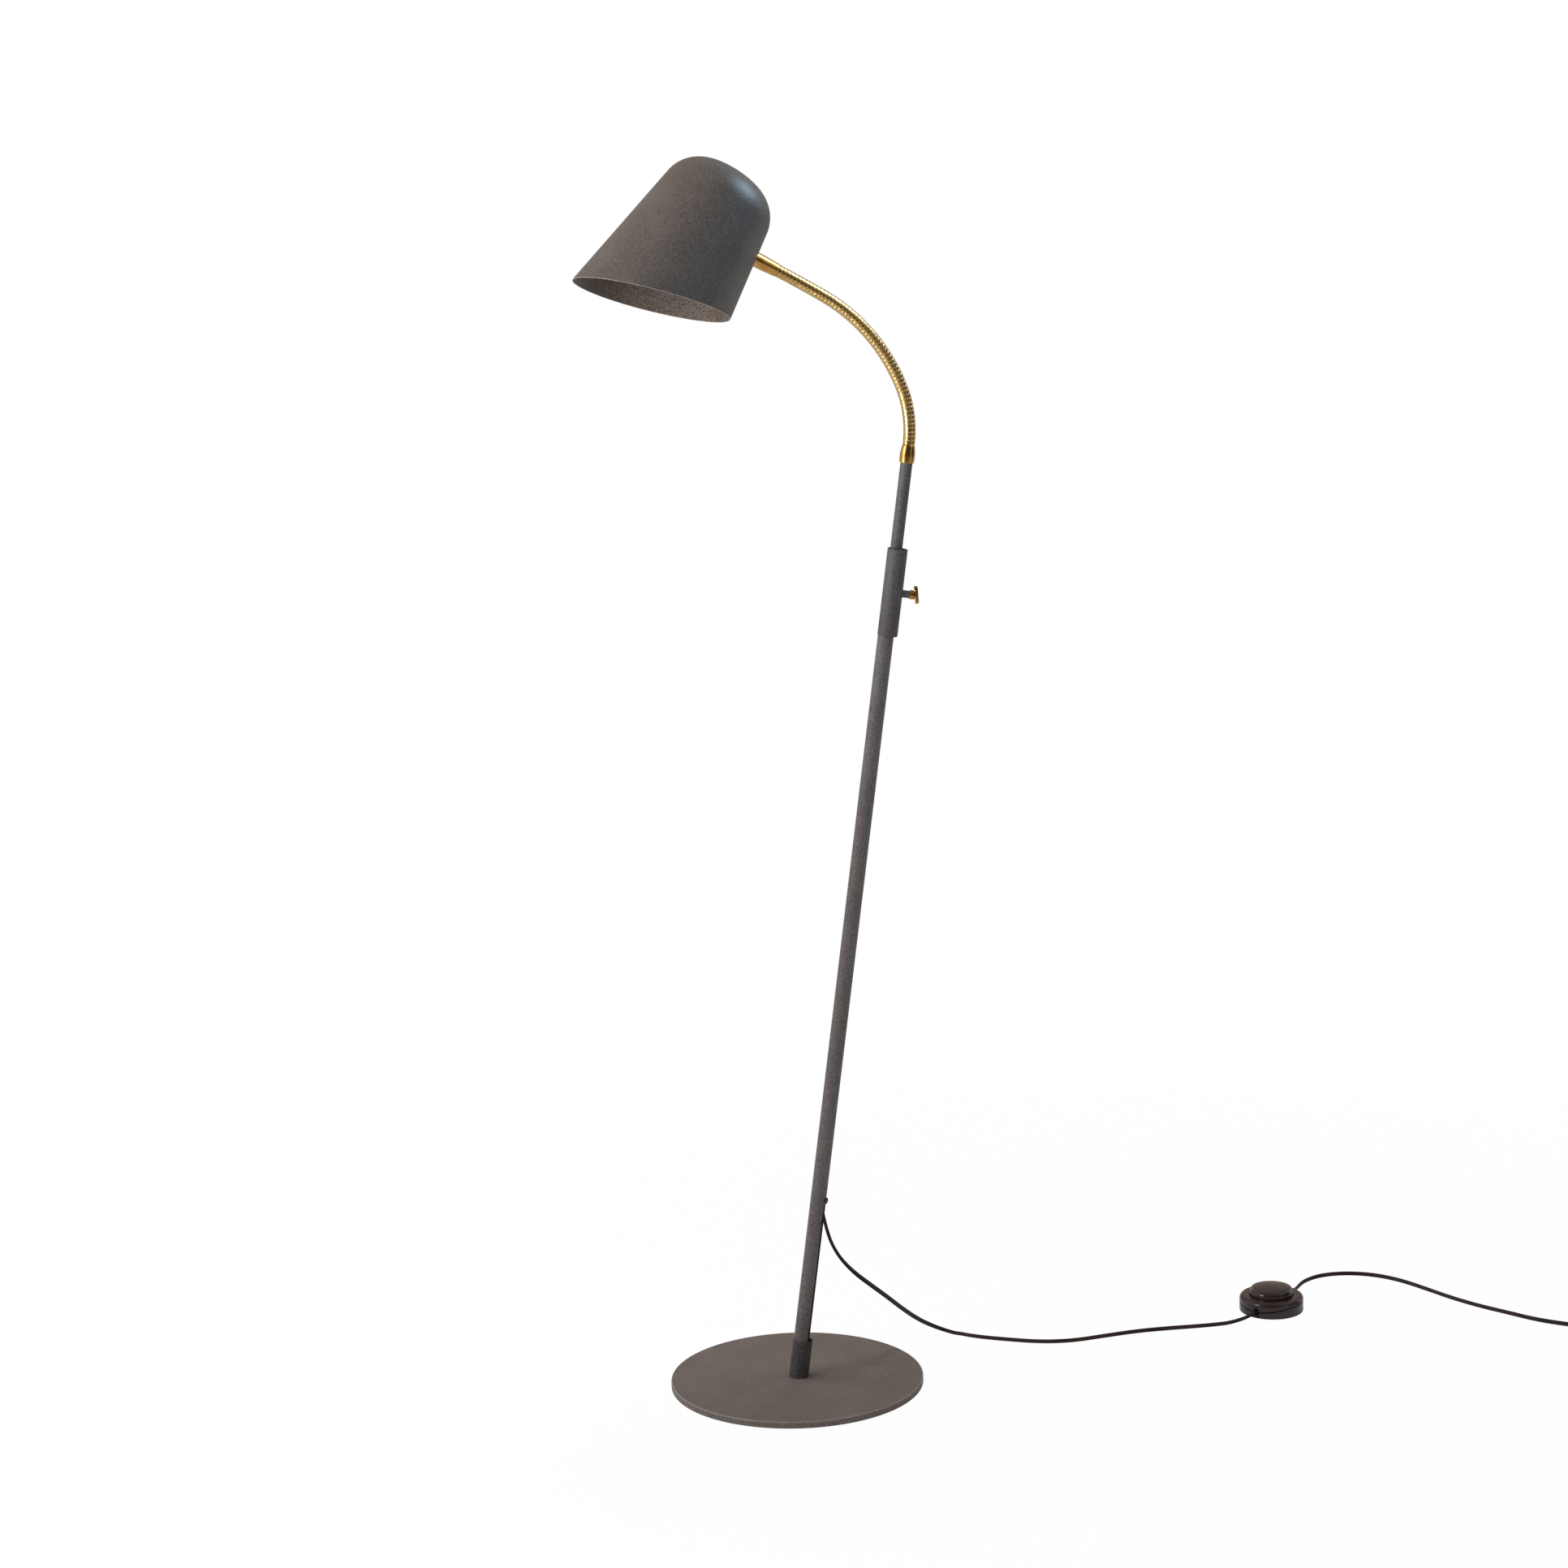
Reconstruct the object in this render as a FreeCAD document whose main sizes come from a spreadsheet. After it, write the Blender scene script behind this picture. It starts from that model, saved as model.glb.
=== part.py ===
"""Gooseneck reading floor lamp: a leaning telescopic pole on a round steel foot.

The frame is in millimetres, +Z up. The origin is the middle of the foot's underside.
The pole leans towards +X, the neck reaches back over the foot towards -X.
"""
import FreeCAD, Part
import math
import os
import re
import Sketcher

V = FreeCAD.Vector
Turn = FreeCAD.Rotation
Place = FreeCAD.Placement

SIZES = {
    # foot
    "foot_radius": "130",
    "foot_thick": "7",
    "foot_edge": "1.2",
    "felt_thick": "1",
    "felt_inset": "4",
    "recess_radius": "12",
    "recess_gap": "0.3",
    "bolt_radius": "3",
    "bolt_head_radius": "5.2",
    "bolt_head_high": "3",
    "bolt_hex": "2.2",
    "bolt_grip": "13",
    "washer_radius": "8",
    "washer_thick": "1",
    "bolt_play": "0.2",
    "thread_play": "0.03",
    "slug_high": "22",
    # pole, measured along its own axis from the foot's top
    "pole_lean": "7.97",
    "pole_radius": "8",
    "pole_wall": "1",
    "pole_long": "862",
    "seat_play": "0.05",
    "sleeve_radius": "10",
    "sleeve_offset": "1.5",
    "socket_high": "40",
    "sleeve_wall": "1.1",
    "socket_depth": "12",
    "collar_depth": "2.5",
    "collar_low": "=pole_long - 84",
    "collar_long": "87",
    "slot_wide": "5.2",
    "slot_top": "187",
    "slot_bearing": "22",
    "grommet_at": "191.5",
    "grommet_stem": "2.3",
    "grommet_head": "3.5",
    "grommet_depth": "1.3",
    "grommet_proud": "2.1",
    # clamp screw
    "screw_at": "=pole_long - 41",
    "screw_radius": "3",
    "boss_radius": "4",
    "boss_long": "6.5",
    "pad_radius": "2",
    "pad_long": "3.2",
    "pad_gap": "0.06",
    "screw_neck_radius": "4.5",
    "screw_neck_long": "5.2",
    "screw_gap": "0.1",
    "wing_long": "18",
    "wing_wide": "5.6",
    "wing_thick": "4",
    "wing_tilt": "11",
    "screw_pitch": "1",
    # upper tube
    "tube_radius": "6",
    "tube_wall": "0.8",
    "tube_low": "=pole_long - 367",
    "tube_top": "=pole_long + 98",
    "glide_play": "0.08",
    "bush_long": "22",
    "bush_flange": "1.2",
    "glide_low": "=tube_low + 5",
    "glide_long": "20",
    "clip_thick": "1.6",
    "clip_radius": "6.7",
    "clip_gap": "0.1",
    # lower ferrule
    "ferrule_low": "=tube_top - 9.5",
    "ferrule_long": "17.7",
    "ferrule_foot_radius": "6.9",
    "ferrule_waist_radius": "7.5",
    "ferrule_mouth_radius": "6.4",
    "nipple_radius": "4",
    "nipple_bore": "3",
    "nipple_long": "11",
    # neck
    "neck_bearing": "15",
    "neck_links": "14",
    "ribs_per_link": "4",
    "neck_lower_long": "60",
    "neck_middle_long": "120",
    "neck_upper_long": "53",
    "neck_lower_bend": "30",
    "neck_middle_bend": "36.5",
    "neck_upper_bend": "2.65",
    "rib_radius": "6",
    "groove_radius": "5.4",
    "groove_half": "0.35",
    "rib_shoulder": "0.6",
    "ball_radius": "5",
    "ball_play": "0.1",
    "link_bore": "3.2",
    "lip_gap": "0.15",
    "ball_neck": "0.7",
    "ball_reach": "2.5",
    # cord
    "cord_radius": "2.4",
    "floor_play": "0.05",
    "lead_low": "214",
    "lead_top": "=pole_long - 4",
    # head
    "head_roll": "10.3",
    "head_ferrule_long": "26.3",
    "head_ferrule_thin": "6.4",
    "head_ferrule_thick": "7.2",
    "head_bore": "4.2",
    "shade_wall": "1",
    "shade_side": "59.4",
    "shade_flare": "8.6",
    "shade_above": "55.2",
    "shade_long": "145.9",
    "shade_cut": "19.1",
    "shade_corner": "36.4",
    "shade_crown": "195",
    "head_nipple_radius": "5",
    "head_nipple_bore": "3.2",
    "head_nipple_inside": "12",
    "lock_hex": "9",
    "lock_thick": "3",
    "strap_thick": "1.6",
    "strap_wide": "16",
    "strap_below": "19",
    "arm_above": "26",
    "seat_gap": "0.3",
    "dome_screw_drop": "13",
    "dome_screw_radius": "4",
    "dome_screw_high": "2",
    "dome_screw_shank": "1.9",
    "dome_screw_long": "5",
    # lampholder and bulb, measured from the arm
    "holder_radius": "14",
    "holder_cap_high": "14",
    "holder_long": "24",
    "holder_wall": "1.6",
    "holder_stem": "4.9",
    "holder_stem_long": "8",
    "shell_radius": "7.9",
    "shell_wall": "0.6",
    "shell_long": "21",
    "contact_radius": "1.8",
    "contact_long": "10",
    "bulb_cap_radius": "6.9",
    "bulb_cap_long": "22",
    "bulb_tip_radius": "3.5",
    "bulb_neck_radius": "8.5",
    "bulb_radius": "22.5",
    "bulb_long": "51",
    "bulb_play": "0.6",
    # foot switch
    "switch_x": "514.7",
    "switch_y": "180.6",
    "switch_bearing": "54",
    "switch_radius": "34.3",
    "switch_high": "18.5",
    "switch_wall": "2",
    "switch_edge": "4.5",
    "switch_foot_high": "1",
    "switch_foot_radius": "4",
    "switch_foot_ring": "25",
    "parting_low": "8",
    "parting_high": "14",
    "parting_gap": "0.15",
    "entry_radius": "3.3",
    "entry_high": "8",
    "button_hole": "23.6",
    "button_play": "0.4",
    "button_top": "28",
    "button_edge": "6.5",
    "button_wall": "2",
    "button_flange": "1.4",
    "button_flange_thick": "1.8",
    "button_stem": "4.6",
    "button_travel": "4",
    "block_long": "15",
    "block_wide": "22",
    "block_high": "9",
    "spring_radius": "8.6",
    "spring_wall": "1.1",
    "post_ring": "28.6",
    "post_radius": "2.7",
    "screw_shank": "1.4",
    "screw_head": "2.4",
    # put-away coil
    "coil_x": "868",
    "coil_y": "62",
    "coil_inner": "19.5",
    "coil_pitch": "5.4",
    "coil_layer": "5.4",
    "coil_quarters_in": "9",
    "coil_quarters_climb": "2",
    "coil_quarters_out": "10",
    # plug
    "relief_long": "25",
    "relief_thin": "3.1",
    "relief_thick": "5.4",
    "plug_long": "38",
    "plug_wide": "35",
    "plug_nose_wide": "26",
    "plug_edge": "3.5",
    "pin_radius": "2",
    "pin_long": "19",
    "pin_spacing": "19",
}

# Cord routes, chosen by hand: from inside the pole to the foot switch, and on from there.
TO_SWITCH = [
    (29.7, 0.0, 219.9), (28.2, -0.4, 203.5), (30.2, -2.4, 186.0), (33.8, -4.6, 168.0), (38.4, -1.5, 151.0),
    (47.0, 8.0, 131.5), (61.0, 23.0, 110.5), (78.0, 44.0, 89.5), (96.0, 67.0, 67.5), (114.0, 93.0, 43.5),
    (131.0, 117.0, 23.0), (149.0, 133.0, 8.5), (169.0, 132.0, 2.45), (191.0, 117.5, 2.45),
    (222.0, 106.5, 2.45), (257.0, 96.0, 2.45), (291.0, 96.0, 2.45), (326.0, 108.0, 2.45),
    (362.0, 120.0, 2.45), (398.0, 126.5, 2.45), (434.0, 131.0, 2.45), (460.0, 136.5, 2.45),
    (480.0, 143.0, 4.5), (494.5, 152.8, 8.0), (504.1, 166.0, 8.0),
]
FROM_SWITCH = [
    (525.3, 195.2, 8.0), (535.2, 208.8, 8.0), (545.5, 226.0, 5.5), (552.5, 246.0, 2.45),
    (563.0, 266.0, 2.45), (584.0, 283.0, 2.45), (613.0, 287.5, 2.45), (643.0, 279.0, 2.45),
    (669.0, 258.0, 2.45), (692.0, 227.0, 2.45), (714.0, 196.0, 2.45), (738.0, 169.0, 2.45),
    (764.0, 145.5, 2.45), (787.0, 123.5, 2.45), (814.0, 106.5, 2.45), (840.0, 95.0, 2.45),
    (863.2, 95.0, 2.45),
]

doc = FreeCAD.newDocument("reading_lamp")
sheet = doc.addObject("Spreadsheet::Sheet", "sizes")
for row, (alias, amount) in enumerate(SIZES.items(), start=1):
    sheet.set("A%d" % row, alias)
    sheet.set("B%d" % row, amount)
    sheet.setAlias("B%d" % row, alias)
doc.recompute()

pieces = {}


def size(alias):
    return float(sheet.get(alias))


def bound(text):
    """The text with each size's name written as an expression on the sheet."""
    return re.sub(r"[a-z][a-z_]*", lambda word: "sizes." + word.group(0), text)


def bind(item, **texts):
    for prop, text in texts.items():
        item.setExpression(prop, bound(text))


def piece(label, item):
    """Keep an object as the named piece that is written to its own file."""
    item.Label = label
    pieces[label] = item
    return item


# ---------------------------------------------------------------- building helpers
def new_body(name, place):
    body = doc.addObject("PartDesign::Body", name)
    body.Placement = place
    return body


def new_sketch(body, name, plane_role):
    sketch = body.newObject("Sketcher::SketchObject", name)
    plane = [item for item in body.Origin.OriginFeatures if item.Role == plane_role][0]
    sketch.AttachmentSupport = [(plane, "")]
    sketch.MapMode = "FlatFace"
    return sketch


def outline(sketch, corners):
    """A closed outline of straight lines whose corners are bound to the sheet."""
    count = len(corners)
    for index in range(count):
        start = V(1 + index, (index * index) % 7, 0)
        end = V(1 + (index + 1) % count, ((index + 1) % count) ** 2 % 7, 0)
        sketch.addGeometry(Part.LineSegment(start, end), False)
    for index in range(count):
        sketch.addConstraint(Sketcher.Constraint("Coincident", index, 2, (index + 1) % count, 1))
    for index, corner in enumerate(corners):
        for kind, text, axis in (("DistanceX", corner[0], -2), ("DistanceY", corner[1], -1)):
            if text == "0":
                sketch.addConstraint(Sketcher.Constraint("PointOnObject", index, 1, axis))
                continue
            number = sketch.addConstraint(Sketcher.Constraint(kind, -1, 1, index, 1, 1.0))
            sketch.setExpression("Constraints[%d]" % number, bound(text))


def turned(name, corners, place=Place()):
    """A body turned about its own Z axis from corners given as (radius, height)."""
    body = new_body(name, place)
    sketch = new_sketch(body, name + "_outline", "XZ_Plane")
    outline(sketch, corners)
    turn = body.newObject("PartDesign::Revolution", name + "_turn")
    turn.Profile = sketch
    turn.ReferenceAxis = (sketch, ["V_Axis"])
    turn.Angle = 360
    sketch.Visibility = False
    doc.recompute()
    return body


def ring(name, inner, outer, low, high, place=Place()):
    return turned(name, [(inner, low), (outer, low), (outer, high), (inner, high)], place)


def padded(name, corners, plane_role, thick, place=Place()):
    """A body padded both ways from an outline on one of its own planes."""
    body = new_body(name, place)
    sketch = new_sketch(body, name + "_outline", plane_role)
    outline(sketch, corners)
    pad = body.newObject("PartDesign::Pad", name + "_pad")
    pad.Profile = sketch
    pad.Midplane = True
    bind(pad, Length=thick)
    sketch.Visibility = False
    doc.recompute()
    return body


def rounded(body, name, radius, chosen):
    """Fillet the edges of the body's last feature for which chosen(edge) is true."""
    doc.recompute()
    tip = body.Tip
    edges = ["Edge%d" % (number + 1) for number, edge in enumerate(tip.Shape.Edges) if chosen(edge)]
    fillet = body.newObject("PartDesign::Fillet", name)
    fillet.Base = (tip, edges)
    bind(fillet, Radius=radius)
    doc.recompute()
    return body


def cylinder(name, radius, length, place):
    item = doc.addObject("Part::Cylinder", name)
    bind(item, Radius=radius, Height=length)
    item.Placement = place
    return item


def block(name, long, wide, high, place):
    item = doc.addObject("Part::Box", name)
    bind(item, Length=long, Width=wide, Height=high)
    item.Placement = place
    return item


def cut(name, base, tools):
    """Take the tools out of the base, one after another."""
    for number, tool in enumerate(tools):
        item = doc.addObject("Part::Cut", name if number == len(tools) - 1 else "%s_step%d" % (name, number))
        item.Base = base
        item.Tool = tool
        base = item
    doc.recompute()
    return base


def shaped(name, shape, place=None):
    """An object whose shape is worked out here from the sheet's sizes."""
    item = doc.addObject("Part::Feature", name)
    item.Shape = shape
    if place is not None:
        item.Placement = place
    return item


def at_height(edge, radius, height):
    """True for a round edge of this radius whose middle is at this height."""
    curve = edge.Curve
    if not isinstance(curve, Part.Circle):
        return False
    return abs(curve.Radius - radius) < 1e-4 and abs(curve.Center.z - height) < 1e-4


# ---------------------------------------------------------------- frames
foot_top = size("felt_thick") + size("foot_thick")
lean = math.radians(size("pole_lean"))
LEANING = Turn(V(0, 1, 0), size("pole_lean"))
ALONG_POLE = V(math.sin(lean), 0, math.cos(lean))


def on_pole(distance, side=V(0, 0, 0), turn=Turn()):
    """A place on the pole's axis, this far up it, moved sideways in the pole's own frame."""
    frame = Place(V(0, 0, foot_top), LEANING)
    return frame.multiply(Place(V(side.x, side.y, distance + side.z), turn))


OUTWARD = Turn(V(0, 1, 0), 90)
GROUND_HALF = 200.0
GROUND_DEEP = 60.0


def ground(name):
    """Everything under the foot's top, taken off the leaning tubes."""
    item = doc.addObject("Part::Box", name)
    item.Length = 2 * GROUND_HALF
    item.Width = 2 * GROUND_HALF
    item.Height = GROUND_DEEP
    bind(item, **{"Placement.Base.z": "felt_thick + foot_thick - 60"})
    item.Placement = Place(V(-GROUND_HALF, -GROUND_HALF, foot_top - GROUND_DEEP), Turn())
    return item


# ---------------------------------------------------------------- foot
UNDER = 6.0
recess_top = "felt_thick + recess_gap + bolt_head_high + washer_thick"
foot_plate = turned("base_plate", [
    ("bolt_radius + bolt_play", recess_top), ("recess_radius", recess_top),
    ("recess_radius", "felt_thick"), ("foot_radius", "felt_thick"),
    ("foot_radius", "felt_thick + foot_thick"), ("bolt_radius + bolt_play", "felt_thick + foot_thick")])
rounded(foot_plate, "base_plate_edge", "foot_edge", lambda edge: at_height(edge, size("foot_radius"), foot_top))
piece("base_plate", foot_plate)
piece("base_felt", cylinder("base_felt", "foot_radius - felt_inset", "felt_thick", Place()))
piece("base_washer", ring("base_washer", "bolt_radius + bolt_play", "washer_radius",
                          "felt_thick + recess_gap + bolt_head_high", recess_top))

bolt = turned("base_bolt_turned", [
    ("0", "felt_thick + recess_gap"), ("bolt_head_radius", "felt_thick + recess_gap"),
    ("bolt_head_radius", "felt_thick + recess_gap + bolt_head_high"),
    ("bolt_radius", "felt_thick + recess_gap + bolt_head_high"),
    ("bolt_radius", "felt_thick + foot_thick + bolt_grip"), ("0", "felt_thick + foot_thick + bolt_grip")])
bolt_socket = doc.addObject("Part::Prism", "base_bolt_socket")
bolt_socket.Polygon = 6
bind(bolt_socket, Circumradius="bolt_hex", Height="recess_gap + bolt_head_high / 2")
bolt_socket.Placement = Place(V(0, 0, size("felt_thick")), Turn())
piece("base_bolt", cut("base_bolt", bolt, [bolt_socket]))

slug = cylinder("pole_slug_round", "pole_radius - pole_wall - seat_play", "slug_high + 6", on_pole(-UNDER))
slug_hole = cylinder("pole_slug_hole", "bolt_radius + thread_play", "bolt_grip + 7", Place(V(0, 0, foot_top - UNDER), Turn()))
piece("pole_slug", cut("pole_slug", slug, [ground("slug_ground"), slug_hole]))

# ---------------------------------------------------------------- pole
slot_turn = Turn(V(0, 0, 1), -size("slot_bearing"))
slot_out = slot_turn.multVec(V(1, 0, 0))
pole_bore = "pole_radius - pole_wall"
pole_outside = cylinder("pole_outside", "pole_radius", "pole_long + 6", on_pole(-UNDER))
pole_inside = cylinder("pole_inside", pole_bore, "pole_long + 12", on_pole(-2 * UNDER))
pole_slot = block("pole_slot", "pole_radius", "slot_wide", "slot_top + 6",
                  on_pole(-UNDER, slot_turn.multVec(V(size("pole_radius") / 2, -size("slot_wide") / 2, 0)), slot_turn))
grommet_turn = slot_turn.multiply(OUTWARD)
grommet_hole = cylinder("pole_grommet_hole", "grommet_stem + seat_play", "pole_radius",
                        on_pole(size("grommet_at"), slot_out * (size("pole_radius") / 2), grommet_turn))
pad_hole = cylinder("pole_pad_hole", "pad_radius + seat_play", "pole_radius",
                    on_pole(size("screw_at"), V(size("pole_radius") / 2, 0, 0), OUTWARD))
piece("pole_lower", cut("pole_lower", pole_outside,
                        [pole_inside, ground("pole_ground"), pole_slot, grommet_hole, pad_hole]))

grommet_in = "pole_radius - grommet_depth"
piece("cord_grommet", turned("cord_grommet", [
    ("0", grommet_in), ("grommet_stem", grommet_in), ("grommet_stem", "pole_radius + seat_play"),
    ("grommet_head", "pole_radius + seat_play"), ("grommet_head", "pole_radius + grommet_proud / 2"),
    ("grommet_stem", "pole_radius + grommet_proud"), ("0", "pole_radius + grommet_proud")],
    on_pole(size("grommet_at"), V(0, 0, 0), grommet_turn)))


def sleeve(name, low, top, length, depth):
    """A round sleeve, set off towards +X, whose bore holds the pole and whose mouth is wider."""
    offset = V(size("sleeve_offset"), 0, 0)
    outside = cylinder(name + "_outside", "sleeve_radius", length, on_pole(low, offset))
    inside = cylinder(name + "_inside", "pole_radius + seat_play", length + " + 12", on_pole(low - UNDER))
    mouth = cylinder(name + "_mouth", "sleeve_radius - sleeve_wall", "2 * " + depth,
                     on_pole(top - size(depth), offset))
    return outside, inside, mouth


socket_outside, socket_inside, socket_mouth = sleeve(
    "base_socket", -UNDER, size("socket_high"), "socket_high + 6", "socket_depth")
piece("base_socket", cut("base_socket", socket_outside, [socket_inside, socket_mouth, ground("socket_ground")]))

collar_outside, collar_inside, collar_mouth = sleeve(
    "clamp_collar", size("collar_low"), size("collar_low") + size("collar_long"), "collar_long", "collar_depth")
collar_hole = cylinder("clamp_collar_hole", "screw_radius + thread_play", "sleeve_radius",
                       on_pole(size("screw_at"), V(size("pole_radius") / 2, 0, 0), OUTWARD))
piece("clamp_collar", cut("clamp_collar", collar_outside, [collar_inside, collar_mouth, collar_hole]))

sleeve_side = "sleeve_offset + sleeve_radius"
boss = ring("clamp_boss_ring", "screw_radius + thread_play", "boss_radius", "sleeve_offset + sleeve_radius * 0.7",
            sleeve_side + " + boss_long", on_pole(size("screw_at"), V(0, 0, 0), OUTWARD))
boss_seat = cylinder("clamp_boss_seat", "sleeve_radius + seat_play / 2", "4 * boss_radius",
                     on_pole(size("screw_at") - 2 * size("boss_radius"), V(size("sleeve_offset"), 0, 0)))
piece("clamp_boss", cut("clamp_boss", boss, [boss_seat]))

bush_bore = "tube_radius + glide_play"
piece("pole_top_bush", turned("pole_top_bush", [
    (bush_bore, "0"), (pole_bore + " - seat_play / 5", "0"), (pole_bore + " - seat_play / 5", "bush_long"),
    ("pole_radius", "bush_long"), ("pole_radius", "bush_long + bush_flange"),
    (bush_bore, "bush_long + bush_flange")], on_pole(size("pole_long") - size("bush_long"))))
piece("inner_lead", cylinder("inner_lead", "cord_radius", "lead_top - lead_low", on_pole(size("lead_low"))))

# ---------------------------------------------------------------- clamp screw, along the pole frame's +X
screw_frame = on_pole(size("screw_at"), V(0, 0, 0), OUTWARD)
pad_low = "tube_radius + pad_gap"
boss_face = sleeve_side + " + boss_long"
piece("clamp_pad", ring("clamp_pad", "0", "pad_radius", pad_low, pad_low + " + pad_long", screw_frame))
screw_turned = turned("clamp_screw_turned", [
    ("0", pad_low + " + pad_long"), ("screw_radius", pad_low + " + pad_long"),
    ("screw_radius", boss_face + " + screw_gap"), ("screw_neck_radius", boss_face + " + screw_gap"),
    ("screw_neck_radius", boss_face + " + screw_gap + screw_neck_long + wing_thick / 2"),
    ("0", boss_face + " + screw_gap + screw_neck_long + wing_thick / 2")], screw_frame)
wing_low = size("sleeve_offset") + size("sleeve_radius") + size("boss_long") + size("screw_gap")
wing_low += size("screw_neck_long")
wing_frame = screw_frame.multiply(Place(V(0, 0, wing_low), Turn(V(0, 1, 0), -size("wing_tilt"))))
wing_seat = block("clamp_wing_seat", "wing_long", "wing_long", "wing_long",
                  wing_frame.multiply(Place(V(-size("wing_long") / 2, -size("wing_long") / 2, 0), Turn())))
piece("clamp_screw", cut("clamp_screw", screw_turned, [wing_seat]))
wing = padded("clamp_wing", [
    ("-wing_long / 2", "-wing_wide / 2"), ("wing_long / 2", "-wing_wide / 2"),
    ("wing_long / 2", "wing_wide / 2"), ("-wing_long / 2", "wing_wide / 2")], "XY_Plane", "wing_thick",
    wing_frame.multiply(Place(V(0, 0, size("wing_thick") / 2), Turn())))
rounded(wing, "clamp_wing_ends", "wing_wide * 0.49", lambda edge: abs(edge.tangentAt(0).z) > 0.9)
piece("clamp_wing", wing)

# ---------------------------------------------------------------- upper tube
piece("glide_bush", ring("glide_bush", bush_bore, pole_bore + " - glide_play", "0", "glide_long",
                         on_pole(size("glide_low"))))
piece("upper_tube", ring("upper_tube", "tube_radius - tube_wall", "tube_radius", "0", "tube_top - tube_low",
                         on_pole(size("tube_low"))))
clips = [
    ring("tube_clip_low", "tube_radius", "clip_radius", "0 - clip_gap - clip_thick", "0 - clip_gap",
         on_pole(size("glide_low"))),
    ring("tube_clip_high", "tube_radius", "clip_radius", "clip_gap", "clip_gap + clip_thick",
         on_pole(size("glide_low") + size("glide_long")))]
clip_pair = doc.addObject("Part::Compound", "tube_clips")
clip_pair.Links = clips
piece("tube_clips", clip_pair)

ferrule_end = "ferrule_long - ball_neck"
tube_stop = "tube_top - ferrule_low"
piece("ferrule_lower", turned("ferrule_lower", [
    ("tube_radius", "0"), ("ferrule_foot_radius", "0"), ("ferrule_waist_radius", "ferrule_long * 0.35"),
    ("ferrule_waist_radius", "ferrule_long * 0.6"), ("ferrule_mouth_radius", ferrule_end),
    ("nipple_radius", ferrule_end), ("nipple_radius", tube_stop), ("tube_radius", tube_stop)],
    on_pole(size("ferrule_low"))))

# ---------------------------------------------------------------- neck
bearing = math.radians(size("neck_bearing"))
REACH = V(-math.cos(lean), 0, math.sin(lean)) * math.cos(bearing)
REACH = REACH + V(0, -1, 0) * math.sin(bearing)
NECK_NORMAL = ALONG_POLE.cross(REACH)
neck_start = on_pole(size("ferrule_low") + size("ferrule_long")).Base
stretches = [(size("neck_lower_long"), math.radians(size("neck_lower_bend"))),
             (size("neck_middle_long"), math.radians(size("neck_middle_bend"))),
             (size("neck_upper_long"), math.radians(size("neck_upper_bend")))]
neck_long = sum(length for length, bend in stretches)
link_count = int(size("neck_links"))
link_long = neck_long / link_count


def neck_at(distance):
    """The point and direction of the neck's centre line this far along it: three arcs in one plane."""
    reach, rise, angle = 0.0, 0.0, 0.0
    left = distance
    for number, (length, bend) in enumerate(stretches):
        run = left if number == len(stretches) - 1 else min(left, length)
        radius = length / bend
        turned_by = run / radius
        reach += radius * (math.cos(angle) - math.cos(angle + turned_by))
        rise += radius * (math.sin(angle + turned_by) - math.sin(angle))
        angle += turned_by
        left -= run
        if left <= 0:
            break
    point = neck_start + REACH * reach + ALONG_POLE * rise
    return point, REACH * math.sin(angle) + ALONG_POLE * math.cos(angle)


def neck_ring(distance, radius):
    """A circle across the neck, started from the same side everywhere so that lofts don't twist."""
    point, ahead = neck_at(distance)
    across = Turn(NECK_NORMAL, ahead.cross(NECK_NORMAL), ahead, "ZXY")
    circle = Part.Circle(V(0, 0, 0), V(0, 0, 1), radius)
    edge = circle.toShape()
    edge.Placement = Place(point, across)
    return Part.Wire([edge])


def ball_zone(point, ahead, root):
    """The rounded head on which the next link turns, rooted this far behind its middle."""
    ball = Part.makeSphere(size("ball_radius"), point, ahead, -90, 90, 360)
    zone = Part.makeCylinder(size("rib_radius"), root + size("ball_reach"), point - ahead * root, ahead)
    return ball.common(zone)


def neck_link(number):
    low = number * link_long
    high = low + link_long
    pitch = link_long / int(size("ribs_per_link"))
    half = size("groove_half")
    shoulder = size("rib_shoulder")
    rings = []
    for rib in range(int(size("ribs_per_link"))):
        start = low + rib * pitch
        first = start + (size("lip_gap") if rib == 0 else half)
        last = start + pitch - (size("ball_neck") if rib == int(size("ribs_per_link")) - 1 else half)
        rings += [neck_ring(first, size("groove_radius")), neck_ring(first + shoulder, size("rib_radius")),
                  neck_ring(last - shoulder, size("rib_radius")), neck_ring(last, size("groove_radius"))]
    foot = neck_at(low)[0]
    point, ahead = neck_at(high)
    way = (point - foot).normalize()
    bore = Part.makeCylinder(size("link_bore"), 2 * link_long, foot - way * (link_long / 2), way)
    cavity = Part.makeSphere(size("ball_radius") + size("ball_play"), foot)
    root = size("ball_neck") + size("rib_shoulder")
    return Part.makeLoft(rings, True, True).fuse(ball_zone(point, ahead, root)).cut([bore, cavity])


nipple_low = size("ferrule_long") - size("nipple_long")
nipple_tube = Part.makeCylinder(size("nipple_radius") - size("seat_play"), size("nipple_long"),
                                on_pole(size("ferrule_low") + nipple_low).Base, ALONG_POLE)
nipple_passage = Part.makeCylinder(size("nipple_bore"), 3 * size("nipple_long"),
                                   on_pole(size("ferrule_low")).Base, ALONG_POLE)
nipple_ball = ball_zone(neck_start, ALONG_POLE, size("ball_neck") - size("seat_play"))
nipple = nipple_tube.fuse(nipple_ball).cut(nipple_passage)
piece("neck_nipple", shaped("neck_nipple", nipple))

for number in range(link_count):
    label = "neck_link_%02d" % (number + 1)
    piece(label, shaped(label, neck_link(number)))

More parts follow.
